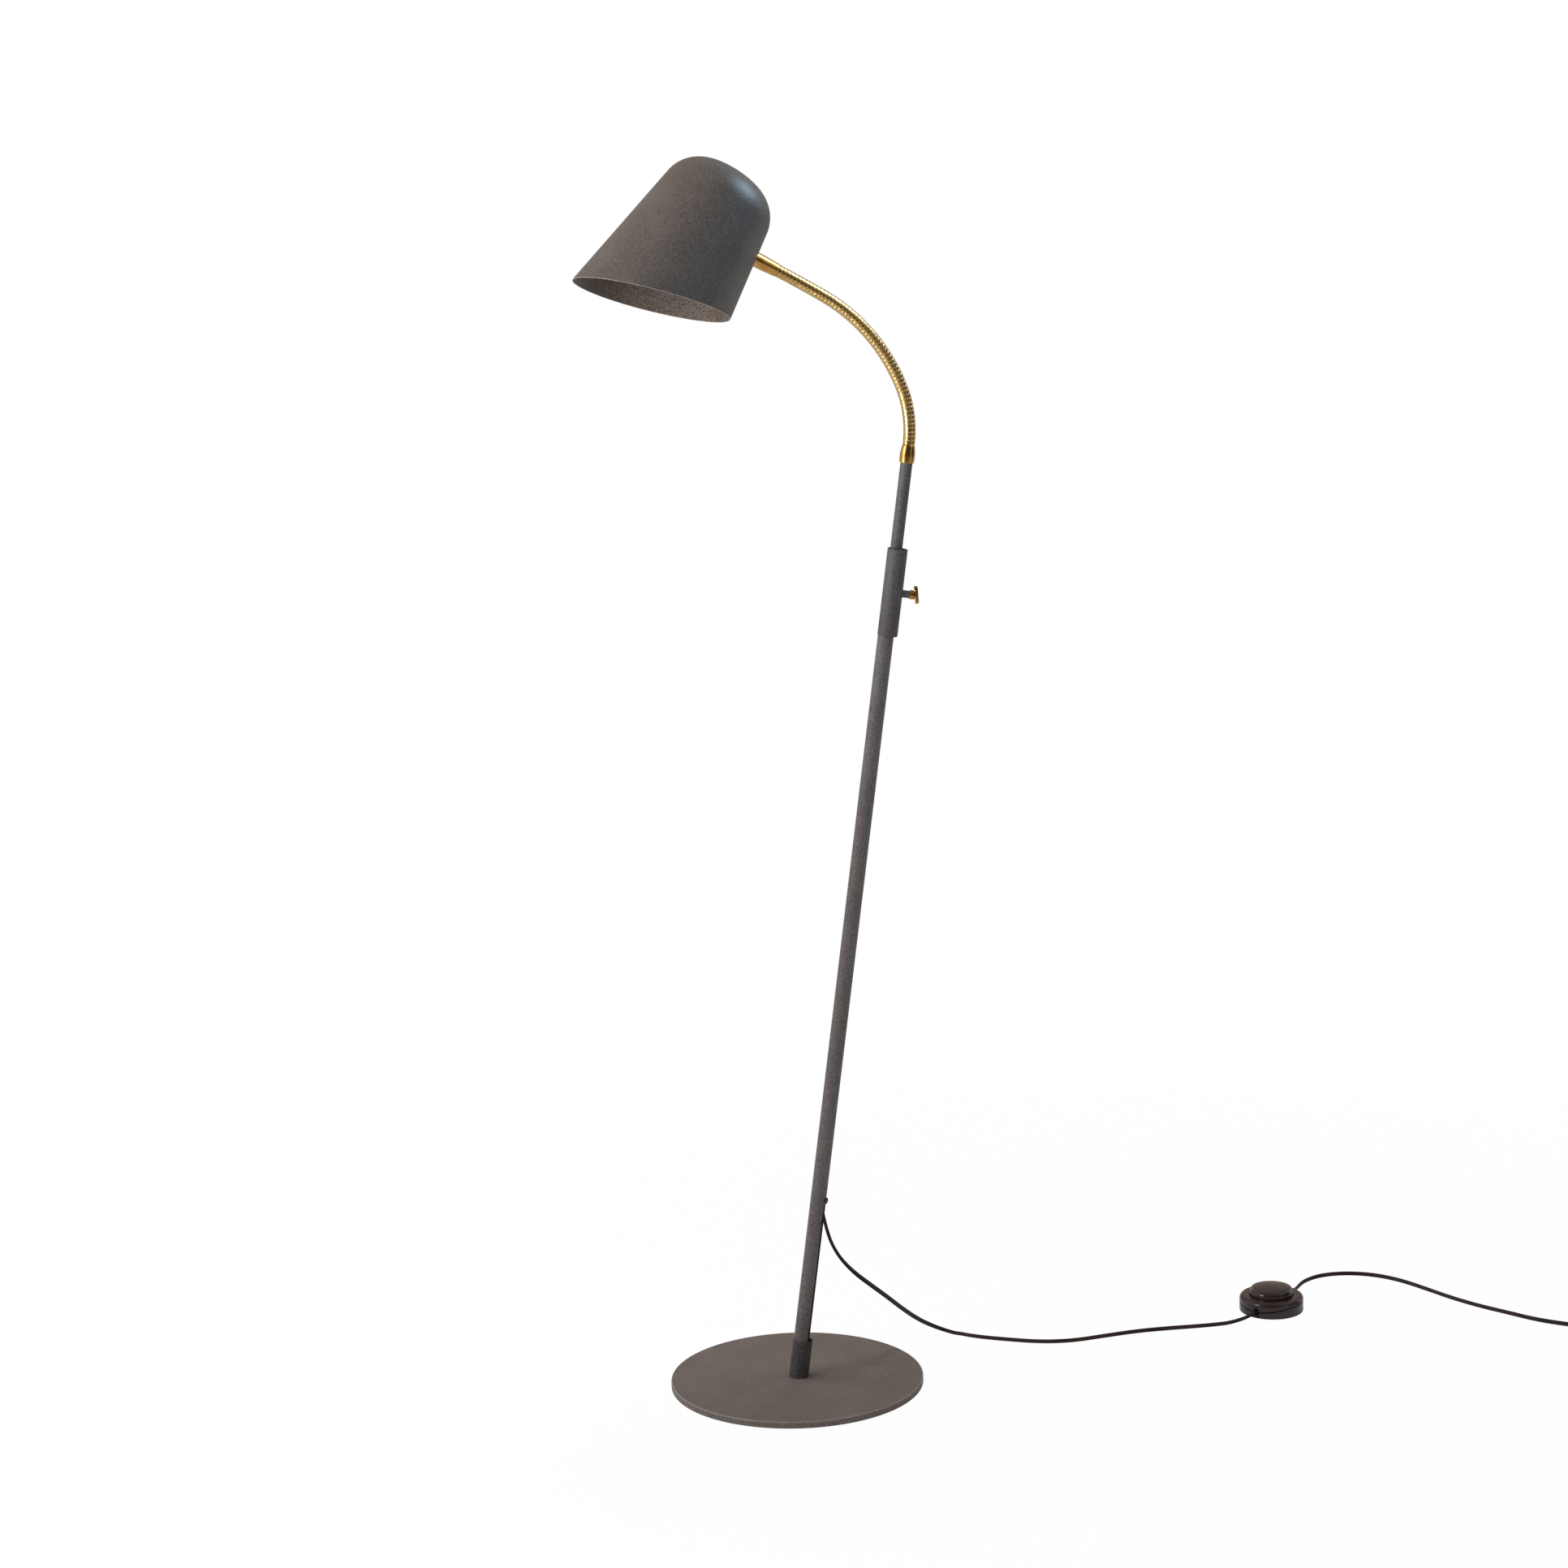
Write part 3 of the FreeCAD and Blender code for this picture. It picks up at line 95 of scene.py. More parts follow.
def gridMesh(name, grid, around=True, along=False, caps=False, kinds=None, sharp=38):
    # grid[row, column] holds points; neighbours share four-sided faces, the last column meets the
    # first where around is true and the last row the first where along is true
    rows, columns = grid.shape[:2]
    rowFaces = rows if along else rows - 1
    columnFaces = columns if around else columns - 1
    row, column = np.meshgrid(np.arange(rowFaces), np.arange(columnFaces), indexing="ij")
    nextRow, nextColumn = (row + 1) % rows, (column + 1) % columns
    quads = np.stack([row * columns + column, row * columns + nextColumn,
                      nextRow * columns + nextColumn, nextRow * columns + column], axis=-1).reshape(-1, 4)
    faces = quads.tolist()
    if caps and around:
        faces += [list(range(columns)), list(range((rows - 1) * columns, rows * columns))]
    if caps and not around:
        faces += [[index * columns + end for index in range(rows)] for end in (0, columns - 1)]
    mesh = bpy.data.meshes.new(name)
    mesh.from_pydata((grid.reshape(-1, 3) * millimetre).tolist(), [], faces)
    across = np.stack([column, column + 1, column + 1, column], axis=-1) / columnFaces
    onward = np.stack([row, row, row + 1, row + 1], axis=-1) / rowFaces
    corners = np.zeros((len(mesh.loops), 2), np.float32)
    corners[:quads.size] = np.stack([across, onward], axis=-1).reshape(-1, 2)
    mesh.uv_layers.new(name="surface").data.foreach_set("uv", corners.ravel())
    if kinds is not None:
        mesh.polygons.foreach_set("material_index", np.resize(kinds, len(faces)).astype(np.int32))
    work = bmesh.new()
    work.from_mesh(mesh)
    return sewnMesh(mesh, work, sharp)


def joinedMesh(name, parts, sharp):
    # several meshes that meet edge to edge, sewn into one
    work = bmesh.new()
    for part in parts:
        work.from_mesh(part)
        bpy.data.meshes.remove(part)
    return sewnMesh(bpy.data.meshes.new(name), work, sharp)


def addPiece(name, mesh, skins, body, standsFor=()):
    # an object that rides on a body and, where it stands for nodes, takes their place
    piece = bpy.data.objects.new(name, mesh)
    scene.collection.objects.link(piece)
    for skin in skins:
        mesh.materials.append(finishes[skin])
    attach(piece, body)
    if standsFor:
        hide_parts(*standsFor)
    return piece


def softSection(corners, steps=5):
    # corners as (radius, height, rounding): each rounding is an arc that touches both runs, with a
    # guard point just outside it so that the flats stay flat
    spots = np.array([corner[:2] for corner in corners], float)
    section = [spots[0]]
    for index in range(1, len(corners) - 1):
        rounding = corners[index][2] if len(corners[index]) > 2 else 0.0
        if rounding <= 0:
            section.append(spots[index])
            continue
        back, ahead = unit(spots[index - 1] - spots[index]), unit(spots[index + 1] - spots[index])
        half = math.acos(float(np.clip(np.dot(back, ahead), -1, 1))) / 2
        reach = rounding / math.tan(half)
        centre = spots[index] + unit(back + ahead) * rounding / math.sin(half)
        first, last = spots[index] + back * reach - centre, spots[index] + ahead * reach - centre
        wide = math.pi - 2 * half
        share = np.linspace(0, 1, steps + 1)[:, None]
        arc = centre + (np.sin((1 - share) * wide) * first + np.sin(share * wide) * last) / math.sin(wide)
        guard = 0.15 * rounding
        section += [spots[index] + back * (reach + guard), *arc, spots[index] + ahead * (reach + guard)]
    section.append(spots[-1])
    return np.array(section)


def smoothLine(knots, count):
    # a smooth line through the knots: each run is a cubic whose slopes follow the neighbouring knots
    knots = np.asarray(knots, float)
    padded = np.vstack([2 * knots[0] - knots[1], knots, 2 * knots[-1] - knots[-2]])
    place = np.linspace(0, len(knots) - 1, count)
    run = np.minimum(place.astype(int), len(knots) - 2)
    t = (place - run)[:, None]
    p0, p1, p2, p3 = padded[run], padded[run + 1], padded[run + 2], padded[run + 3]
    return 0.5 * (2 * p1 + (p2 - p0) * t + (2 * p0 - 5 * p1 + 4 * p2 - p3) * t ** 2
                  + (3 * p1 - p0 - 3 * p2 + p3) * t ** 3)


def ringPoints(radius, angle, height):
    # x and y from the radius and the angle, z the height, all stretched to one shape
    return np.stack(np.broadcast_arrays(radius * np.cos(angle), radius * np.sin(angle), height), axis=-1)


def rowsGrid(rows, angle):
    # rows of (radius, height), each of them a number or one value for every angle
    radius, height = [np.stack([np.broadcast_to(row[part], len(angle)) for row in rows]) for part in (0, 1)]
    return ringPoints(radius, angle, height)


def turnedGrid(section, sides):
    # the section's (radius, height) points carried round the z axis
    angle = np.linspace(0, 2 * math.pi, sides, endpoint=False)
    return ringPoints(section[:, :1], angle, section[:, 1:2])


def turnedMesh(name, place, corners, sides=96, loop=False):
    # a softened section carried round the place's z axis
    return gridMesh(name, fromPlace(place, turnedGrid(softSection(corners), sides)), along=loop)


def screenColour(red, green, blue):
    # a colour as a screen shows it, from 0 to 255, turned into light
    value = np.array([red, green, blue]) / 255
    light = np.where(value <= 0.04045, value / 12.92, ((value + 0.055) / 1.055) ** 2.4)
    return (*[float(part) for part in light], 1.0)


def newGroup(name, inputs, outputs):
    # an empty node group with its sockets
    tree = bpy.data.node_groups.new(name, "ShaderNodeTree")
    for label, kind, value in inputs:
        socket = tree.interface.new_socket(name=label, in_out="INPUT", socket_type=kind)
        socket.default_value = value
    for label, kind in outputs:
        tree.interface.new_socket(name=label, in_out="OUTPUT", socket_type=kind)
    return tree, tree.nodes.new("NodeGroupInput"), tree.nodes.new("NodeGroupOutput")


def noiseAt(tree, where, scale, detail=2.0, rough=0.5):
    # cloudy noise from 0 to 1 over the given coordinates
    noise = tree.nodes.new("ShaderNodeTexNoise")
    noise.inputs["Scale"].default_value = scale
    noise.inputs["Detail"].default_value = detail
    noise.inputs["Roughness"].default_value = rough
    tree.links.new(where, noise.inputs["Vector"])
    return noise.outputs["Fac"]


def ranged(tree, value, fromLow, fromHigh, toLow, toHigh):
    # one range of values stretched onto another
    node = tree.nodes.new("ShaderNodeMapRange")
    limits = {"From Min": fromLow, "From Max": fromHigh, "To Min": toLow, "To Max": toHigh}
    for label, amount in limits.items():
        if isinstance(amount, bpy.types.NodeSocket):
            tree.links.new(amount, node.inputs[label])
        else:
            node.inputs[label].default_value = amount
    tree.links.new(value, node.inputs["Value"])
    return node.outputs["Result"]


def mixed(tree, share, first, second):
    # from the first colour to the second as the share goes from 0 to 1
    node = tree.nodes.new("ShaderNodeMix")
    node.data_type = "RGBA"
    tree.links.new(share, node.inputs["Factor"])
    for socket, colour in ((node.inputs[6], first), (node.inputs[7], second)):
        if isinstance(colour, bpy.types.NodeSocket):
            tree.links.new(colour, socket)
        else:
            socket.default_value = colour
    return node.outputs[2]


def added(tree, first, second, way="ADD"):
    # the sum of two values, or what the given way makes of them
    node = tree.nodes.new("ShaderNodeMath")
    node.operation = way
    for socket, value in ((node.inputs[0], first), (node.inputs[1], second)):
        if isinstance(value, bpy.types.NodeSocket):
            tree.links.new(value, socket)
        else:
            socket.default_value = value
    return node.outputs[0]


def makeCoatGrain():
    # powder coat: a fine pebbled skin whose valleys are darker, a painted shade in the grain, with broad faint clouds
    # over it
    tree, given, made = newGroup("coatGrain", [
        ("Deep", "NodeSocketColor", (0.04, 0.04, 0.04, 1)), ("High", "NodeSocketColor", (0.1, 0.1, 0.1, 1)),
        ("Roughness", "NodeSocketFloat", 0.6), ("Grain", "NodeSocketFloat", 1.0)],
        [("Colour", "NodeSocketColor"), ("Roughness", "NodeSocketFloat"), ("Height", "NodeSocketFloat")])
    where = tree.nodes.new("ShaderNodeTexCoord").outputs["Object"]
    pebble = noiseAt(tree, where, 640, 2.0, 0.6)
    fleck = noiseAt(tree, where, 1500, 1.0, 0.5)
    cloud = noiseAt(tree, where, 22, 3.0, 0.55)
    both = added(tree, added(tree, pebble, 0.62, "MULTIPLY"), added(tree, fleck, 0.38, "MULTIPLY"))
    share = ranged(tree, both, 0.4, 0.6, 0.0, 1.0)
    clouded = added(tree, share, ranged(tree, cloud, 0.3, 0.7, -0.14, 0.14))
    # the colour follows the grain's height, so the valleys carry painted shade
    tree.links.new(mixed(tree, clouded, given.outputs["Deep"], given.outputs["High"]), made.inputs["Colour"])
    tree.links.new(added(tree, given.outputs["Roughness"], ranged(tree, both, 0.3, 0.7, -0.07, 0.07)),
                   made.inputs["Roughness"])
    tree.links.new(added(tree, both, given.outputs["Grain"], "MULTIPLY"), made.inputs["Height"])
    return tree


def makeMetalSkin():
    # polished metal: faint cloudy lacquer, fine turning lines along the piece's own surface
    tree, given, made = newGroup("metalSkin", [
        ("Bright", "NodeSocketColor", (0.8, 0.6, 0.3, 1)), ("Dull", "NodeSocketColor", (0.6, 0.4, 0.2, 1)),
        ("Roughness", "NodeSocketFloat", 0.2), ("Lines", "NodeSocketFloat", 1.0)],
        [("Colour", "NodeSocketColor"), ("Roughness", "NodeSocketFloat"), ("Height", "NodeSocketFloat")])
    coordinate = tree.nodes.new("ShaderNodeTexCoord")
    cloud = noiseAt(tree, coordinate.outputs["Object"], 90, 3.0, 0.6)
    stretch = tree.nodes.new("ShaderNodeMapping")
    stretch.inputs["Scale"].default_value = (1.5, 260, 1)
    tree.links.new(coordinate.outputs["UV"], stretch.inputs["Vector"])
    lines = noiseAt(tree, stretch.outputs["Vector"], 1.0, 2.0, 0.5)
    share = ranged(tree, cloud, 0.35, 0.7, 0.0, 1.0)
    tree.links.new(mixed(tree, share, given.outputs["Bright"], given.outputs["Dull"]), made.inputs["Colour"])
    rough = added(tree, given.outputs["Roughness"], ranged(tree, cloud, 0.3, 0.75, -0.03, 0.09))
    tree.links.new(rough, made.inputs["Roughness"])
    tree.links.new(added(tree, lines, given.outputs["Lines"], "MULTIPLY"), made.inputs["Height"])
    return tree


def makeMouldedSkin():
    # moulded plastic or rubber: slight flow clouds in the colour, a very fine grain in the height
    tree, given, made = newGroup("mouldedSkin", [
        ("Deep", "NodeSocketColor", (0.02, 0.02, 0.02, 1)), ("High", "NodeSocketColor", (0.04, 0.04, 0.04, 1)),
        ("Roughness", "NodeSocketFloat", 0.4), ("Grain", "NodeSocketFloat", 1.0),
        ("Spread", "NodeSocketFloat", 0.06)],
        [("Colour", "NodeSocketColor"), ("Roughness", "NodeSocketFloat"), ("Height", "NodeSocketFloat")])
    where = tree.nodes.new("ShaderNodeTexCoord").outputs["Object"]
    cloud = noiseAt(tree, where, 45, 3.0, 0.55)
    grain = noiseAt(tree, where, 1900, 1.0, 0.5)
    share = ranged(tree, cloud, 0.32, 0.68, 0.0, 1.0)
    tree.links.new(mixed(tree, share, given.outputs["Deep"], given.outputs["High"]), made.inputs["Colour"])
    spread = added(tree, added(tree, share, 0.5, "SUBTRACT"), given.outputs["Spread"], "MULTIPLY")
    tree.links.new(added(tree, given.outputs["Roughness"], spread), made.inputs["Roughness"])
    tree.links.new(added(tree, grain, given.outputs["Grain"], "MULTIPLY"), made.inputs["Height"])
    return tree


def newFinish(name, group, values, bump, depth, metal=0.0, others={}):
    # a shader whose colour, roughness and height come from one of the groups
    finish = bpy.data.materials.new(name)
    finish.use_nodes = True
    tree = finish.node_tree
    shader = tree.nodes["Principled BSDF"]
    skin = tree.nodes.new("ShaderNodeGroup")
    skin.node_tree = group
    for label, value in values.items():
        skin.inputs[label].default_value = value
    relief = tree.nodes.new("ShaderNodeBump")
    relief.inputs["Strength"].default_value = bump
    relief.inputs["Distance"].default_value = depth
    shader.inputs["Metallic"].default_value = metal
    for label, value in others.items():
        shader.inputs[label].default_value = value
    tree.links.new(skin.outputs["Colour"], shader.inputs["Base Color"])
    tree.links.new(skin.outputs["Roughness"], shader.inputs["Roughness"])
    tree.links.new(skin.outputs["Height"], relief.inputs["Height"])
    tree.links.new(relief.outputs["Normal"], shader.inputs["Normal"])
    return finish


coatGrain, metalSkin, mouldedSkin = makeCoatGrain(), makeMetalSkin(), makeMouldedSkin()
# deep and high colour as a screen shows them, roughness, grain, bump, specular
coats = {
    # the pole's coat is a lightened copy of the one powder coat, painted light, and the tube's a darkened copy,
    # painted shade
    "poleCoatPaintedLight": ((75, 70, 69), (117, 110, 109), 0.55, 1.0, 0.45, 0.25),
    "tubeCoatPaintedShade": ((60, 56, 56), (93, 88, 87), 0.55, 1.0, 0.45, 0.22),
    "footCoat": ((84, 76, 72), (116, 106, 101), 0.58, 1.0, 0.4, 0.3),
    # a lighter copy of the coat for soft edges: a painted highlight
    "paintedEdgeHighlight": ((104, 96, 92), (138, 128, 122), 0.5, 1.0, 0.3, 0.4),
    "socketCoat": ((50, 47, 47), (84, 79, 79), 0.55, 1.0, 0.45, 0.22),
    "shadeCoat": ((54, 47, 43), (80, 72, 67), 0.46, 0.9, 0.4, 0.34),
    # the lining is the inside coat, tinted warm brown with painted bounce light
    "shadeLiningPaintedBounce": ((56, 44, 35), (98, 86, 77), 0.5, 1.0, 0.4, 0.3)}
# bright and dull colour as light, roughness, turning lines, metal, bump
metals = {
    "brass": ((0.5, 0.28, 0.075), (0.37, 0.2, 0.05), 0.22, 0.3, 1.0, 0.04),
    "ribBrass": ((0.56, 0.35, 0.11), (0.42, 0.25, 0.075), 0.24, 0.0, 1.0, 0.0),
    "seamWire": ((0.52, 0.43, 0.34), (0.4, 0.32, 0.25), 0.34, 0.0, 0.9, 0.05),
    "zinc": ((0.66, 0.66, 0.65), (0.5, 0.5, 0.47), 0.32, 0.8, 1.0, 0.12),
    "aluminium": ((0.8, 0.8, 0.8), (0.66, 0.66, 0.66), 0.28, 0.5, 1.0, 0.1)}
# deep and high colour, roughness, grain, spread, bump, its depth, and the shader's other values
mouldings = {
    "switchGloss": ((36, 24, 26), (50, 36, 38), 0.2, 0.3, 0.06, 0.03, 0.0001,
                    {"Specular IOR Level": 0.26, "Coat Weight": 0.16, "Coat Roughness": 0.1}),
    "plainPlastic": ((26, 26, 27), (40, 39, 39), 0.42, 1.0, 0.06, 0.2, 0.0002, {}),
    "cordVinyl": ((38, 29, 27), (54, 43, 40), 0.5, 0.5, 0.12, 0.05, 0.0001, {"Specular IOR Level": 0.12}),
    "rubber": ((28, 28, 28), (42, 41, 40), 0.72, 1.2, 0.06, 0.3, 0.0002, {}),
    "felt": ((38, 36, 36), (60, 57, 56), 0.95, 3.0, 0.06, 0.8, 0.0005,
             {"Sheen Weight": 0.4, "Sheen Roughness": 0.6})}
finishes = {}
for name, (deep, high, rough, grain, bump, specular) in coats.items():
    finishes[name] = newFinish(name, coatGrain, {
        "Deep": screenColour(*deep), "High": screenColour(*high), "Roughness": rough, "Grain": grain},
        bump=bump, depth=0.0004, others={"Specular IOR Level": specular})
for name, (bright, dull, rough, turning, metal, bump) in metals.items():
    finishes[name] = newFinish(name, metalSkin, {
        "Bright": (*bright, 1), "Dull": (*dull, 1), "Roughness": rough, "Lines": turning},
        bump=bump, depth=0.0001, metal=metal)
for name, (deep, high, rough, grain, spread, bump, depth, others) in mouldings.items():
    finishes[name] = newFinish(name, mouldedSkin, {
        "Deep": screenColour(*deep), "High": screenColour(*high), "Roughness": rough, "Grain": grain,
        "Spread": spread}, bump=bump, depth=depth, others=others)
finishes["opalGlass"] = newFinish("opalGlass", mouldedSkin, {
    "Deep": (0.83, 0.82, 0.79, 1), "High": (0.9, 0.89, 0.86, 1), "Roughness": 0.18, "Grain": 0.2},
    bump=0.03, depth=0.0001, others={"Coat Weight": 0.5, "Coat Roughness": 0.05})
print("finishes made:", len(finishes))

camera = {"place": (0.0, -3.54003, 1.33926), "yaw": 0.048, "pitch": 11.3132, "roll": -1.5613, "lens": 83.0,
          "film": 36.0}


def addCamera():
    # looks along yaw and pitch; right and up are then swung by the roll
    yaw, pitch, roll = [math.radians(camera[key]) for key in ("yaw", "pitch", "roll")]
    ahead = np.array([math.sin(yaw) * math.cos(pitch), math.cos(yaw) * math.cos(pitch), -math.sin(pitch)])
    level = np.array([math.cos(yaw), -math.sin(yaw), 0.0])
    upright = np.cross(level, ahead)
    right = level * math.cos(roll) + upright * math.sin(roll)
    up = upright * math.cos(roll) - level * math.sin(roll)
    data = bpy.data.cameras.new("studioCamera")
    data.lens, data.sensor_width = camera["lens"], camera["film"]
    data.clip_start, data.clip_end = 0.05, 60
    item = bpy.data.objects.new("studioCamera", data)
    matrix = np.eye(4)
    matrix[:3, 0], matrix[:3, 1], matrix[:3, 2], matrix[:3, 3] = right, up, -ahead, camera["place"]
    item.matrix_world = Matrix(matrix.tolist())
    scene.collection.objects.link(item)
    scene.camera = item


addCamera()
print("camera placed")

cordSize = {"lobe": 1.65, "apart": 0.75, "sides": 20, "spacing": 2.6, "rollAfter": 50, "rollOver": 110,
            "clear": 0.05}
toSwitch = [
    (29.7, 0.0, 219.9), (28.2, -0.4, 203.5), (30.2, -2.4, 186.0), (33.8, -4.6, 168.0), (38.4, -1.5, 151.0),
    (47.0, 8.0, 131.5), (61.0, 23.0, 110.5), (78.0, 44.0, 89.5), (96.0, 67.0, 67.5), (114.0, 93.0, 43.5),
    (131.0, 117.0, 23.0), (149.0, 133.0, 8.5), (169.0, 132.0, 1.5), (191.0, 117.5, 1.5),
    (222.0, 106.5, 1.5), (257.0, 96.0, 1.5), (291.0, 96.0, 1.5), (326.0, 108.0, 1.5),
    (362.0, 120.0, 1.5), (398.0, 126.5, 1.5), (434.0, 131.0, 1.5), (460.0, 136.5, 2.0),
    (480.0, 143.0, 4.5), (494.5, 152.8, 8.0), (504.1, 166.0, 8.0)]
fromSwitch = [
    (525.3, 195.2, 8.0), (535.2, 208.8, 8.0), (545.5, 226.0, 5.5), (552.5, 246.0, 2.0),
    (563.0, 266.0, 1.5), (584.0, 283.0, 1.5), (613.0, 287.5, 1.5), (643.0, 279.0, 1.5),
    (669.0, 258.0, 1.5), (692.0, 227.0, 1.5), (714.0, 196.0, 1.5), (738.0, 169.0, 1.6),
    (764.0, 145.5, 1.9), (787.0, 123.5, 2.2), (814.0, 106.5, 2.45), (840.0, 95.0, 2.45)]
coil = {"middle": (868.0, 62.0), "inner": 19.5, "pitch": 5.4, "layer": 5.4, "low": 2.45, "inward": 9, "climb": 2,
        "outward": 10, "perQuarter": 4, "stub": 4.8}


def coilRoute():
    # radius shrinks by one pitch a turn, then grows again a layer up; height eases over the climb
    last = coil["inward"] + coil["climb"] + coil["outward"]
    quarter = np.linspace(0, last, last * coil["perQuarter"] + 1)
    share = np.clip((quarter - coil["inward"]) / coil["climb"], 0, 1)
    height = coil["low"] + coil["layer"] * share * share * (3 - 2 * share)
    radius = coil["inner"] + coil["pitch"] * np.abs(quarter - coil["inward"] - coil["climb"] / 2) / 4
    angle = np.radians(90 - 90 * quarter)
    turns = ringPoints(radius, angle, height) + [*coil["middle"], 0]
    return np.vstack([turns, turns[-1] + [0, -coil["stub"], 0]])


def routeLine(name, route):
    # the points of a smooth spline whose control points are the route's
    curve = bpy.data.curves.new(name, "CURVE")
    curve.dimensions = "3D"
    curve.resolution_u = 12
    spline = curve.splines.new("NURBS")
    spline.points.add(len(route) - 1)
    spline.points.foreach_set("co", np.hstack([np.asarray(route), np.ones((len(route), 1))]).ravel())
    spline.order_u = 3
    spline.use_endpoint_u = True
    holder = bpy.data.objects.new(name, curve)
    line = bpy.data.meshes.new_from_object(holder)
    spots = np.zeros(len(line.vertices) * 3)
    line.vertices.foreach_get("co", spots)
    bpy.data.objects.remove(holder)
    bpy.data.curves.remove(curve)
    bpy.data.meshes.remove(line)
    return spots.reshape(-1, 3)


def lengthsAlong(spots):
    # how far along the line each of its points is
    return np.concatenate([[0.0], np.cumsum(np.linalg.norm(np.diff(spots, axis=0), axis=1))])


def twinCord(name, spots, firstUp, twistKnots):
    # two round cores side by side: the section's reach is its core offset plus the core's own circle,
    # carried along the line and rolled by the twist, then lifted where it would sink into the floor
    travelled = lengthsAlong(spots)
    count = int(travelled[-1] / cordSize["spacing"]) + 1
    even = np.linspace(0, travelled[-1], count)
    line = np.stack([np.interp(even, travelled, spots[:, axis]) for axis in range(3)], axis=-1)
    ahead = np.gradient(line, even, axis=0)
    ahead /= np.linalg.norm(ahead, axis=1, keepdims=True)
    share = np.clip((even[:, None] - cordSize["rollAfter"]) / cordSize["rollOver"], 0, 1)
    share = share * share * (3 - 2 * share)
    up = (1 - share) * np.asarray(firstUp) + share * np.array([0, 0, 1.0])
    side = np.cross(ahead, up)
    side /= np.linalg.norm(side, axis=1, keepdims=True)
    over = np.cross(side, ahead)
    roll = np.radians(np.interp(even, *zip(*twistKnots)))[:, None]
    wide, thin = side * np.cos(roll) + over * np.sin(roll), over * np.cos(roll) - side * np.sin(roll)
    angle = np.linspace(0, 2 * math.pi, cordSize["sides"], endpoint=False)
    reach = (cordSize["apart"] * np.abs(np.cos(angle))
             + np.sqrt(cordSize["lobe"] ** 2 - (cordSize["apart"] * np.sin(angle)) ** 2))
    grid = (line[:, None] + wide[:, None] * (reach * np.cos(angle))[None, :, None]
            + thin[:, None] * (reach * np.sin(angle))[None, :, None])
    grid[:, :, 2] += np.clip(cordSize["clear"] - grid[:, :, 2].min(axis=1, keepdims=True), 0, None)
    return gridMesh(name, grid, caps=True, sharp=60), line * millimetre


slotTurn = math.radians(22)
slotOut = (math.cos(slotTurn), -math.sin(slotTurn), 0.0)
cordMesh, firstPath = twinCord("cordToSwitch", routeLine("firstRoute", toSwitch), slotOut, [
    (0, 0), (60, 38), (150, 48), (330, 52), (470, 60), (560, 66), (640, 50), (672, 0)])
cordToSwitch = addPiece("cordToSwitch", cordMesh, ["cordVinyl"], "stand", ["cord_to_switch"])
secondRoute = np.vstack([fromSwitch, coilRoute()])
cordMesh, secondPath = twinCord("cordFromSwitch", routeLine("secondRoute", secondRoute), (0, 0, 1), [
    (0, 0), (12, 0), (60, 62), (160, 72), (260, 60), (330, 64), (430, 90), (2000, 90)])
cordFromSwitch = addPiece("cordFromSwitch", cordMesh, ["cordVinyl"], "stand",
                          ["cord_from_switch", "cord_coil"])
print("cords laid: %.3f m and %.3f m" % (lengthsAlong(firstPath)[-1], lengthsAlong(secondPath)[-1]))

# the plug lies beside the put-away length
plug = {"start": (902.35, 57.2, 7.85), "relief": 25.0, "thin": 3.1, "thick": 5.3, "rings": 6, "grip": 38.0,
        "wide": 17.4, "nose": 12.9, "neck": 7.0, "high": 7.7, "pin": 1.98, "pinLong": 19.0, "apart": 9.5}
plugPlace = placeAt(plug["start"], (0, -1, 0), (1, 0, 0))


def plugReliefMesh():
    # a cone whose radius dips in a row of soft rings
    height = np.linspace(0.3, plug["relief"] + 1.5, 90)
    share = height / plug["relief"]
    ripple = 0.32 * (0.5 - 0.5 * np.cos(2 * math.pi * np.clip(share * plug["rings"], 0, plug["rings"])))
    radius = plug["thin"] + (plug["thick"] - plug["thin"]) * share - ripple
    section = np.vstack([[0, height[0]], np.stack([radius, height], axis=-1), [0, height[-1]]])
    return gridMesh("plugRelief", fromPlace(plugPlace, turnedGrid(section, 48)), sharp=50)


def plugGripMesh():
    # rounded rectangles along the plug, wide behind the nose, eased in at both ends
    share = np.array([0, 0.004, 0.015, 0.035, 0.07, 0.14, 0.24, 0.35, 0.5, 0.65, 0.8, 0.9, 0.95, 0.975, 0.99,
                      0.997, 1.0])
    width = smoothLine([(0, plug["neck"]), (0.18, 12.8), (0.36, plug["wide"]), (0.7, 15.6), (1, plug["nose"])], 60)
    half = np.interp(share, width[:, 0], width[:, 1])
    ease = np.sqrt(np.clip(1 - np.clip(1 - share / 0.05, 0, 1) ** 2, 0, 1)) * 0.12 + 0.88
    ease *= np.sqrt(np.clip(1 - np.clip((share - 0.95) / 0.05, 0, 1) ** 2, 0, 1)) * 0.1 + 0.9
    high = plug["high"] * (0.78 + 0.22 * np.clip(share / 0.35, 0, 1))
    angle = np.linspace(0, 2 * math.pi, 96, endpoint=False)
    x = np.sign(np.cos(angle)) * np.abs(np.cos(angle)) ** 0.5
    y = np.sign(np.sin(angle)) * np.abs(np.sin(angle)) ** 0.5
    grid = np.stack([(half * ease)[:, None] * x, (high * ease)[:, None] * y,
                     (plug["relief"] + share * plug["grip"])[:, None] + 0 * x], axis=-1)
    return gridMesh("plugGrip", fromPlace(plugPlace, grid), caps=True, sharp=50)


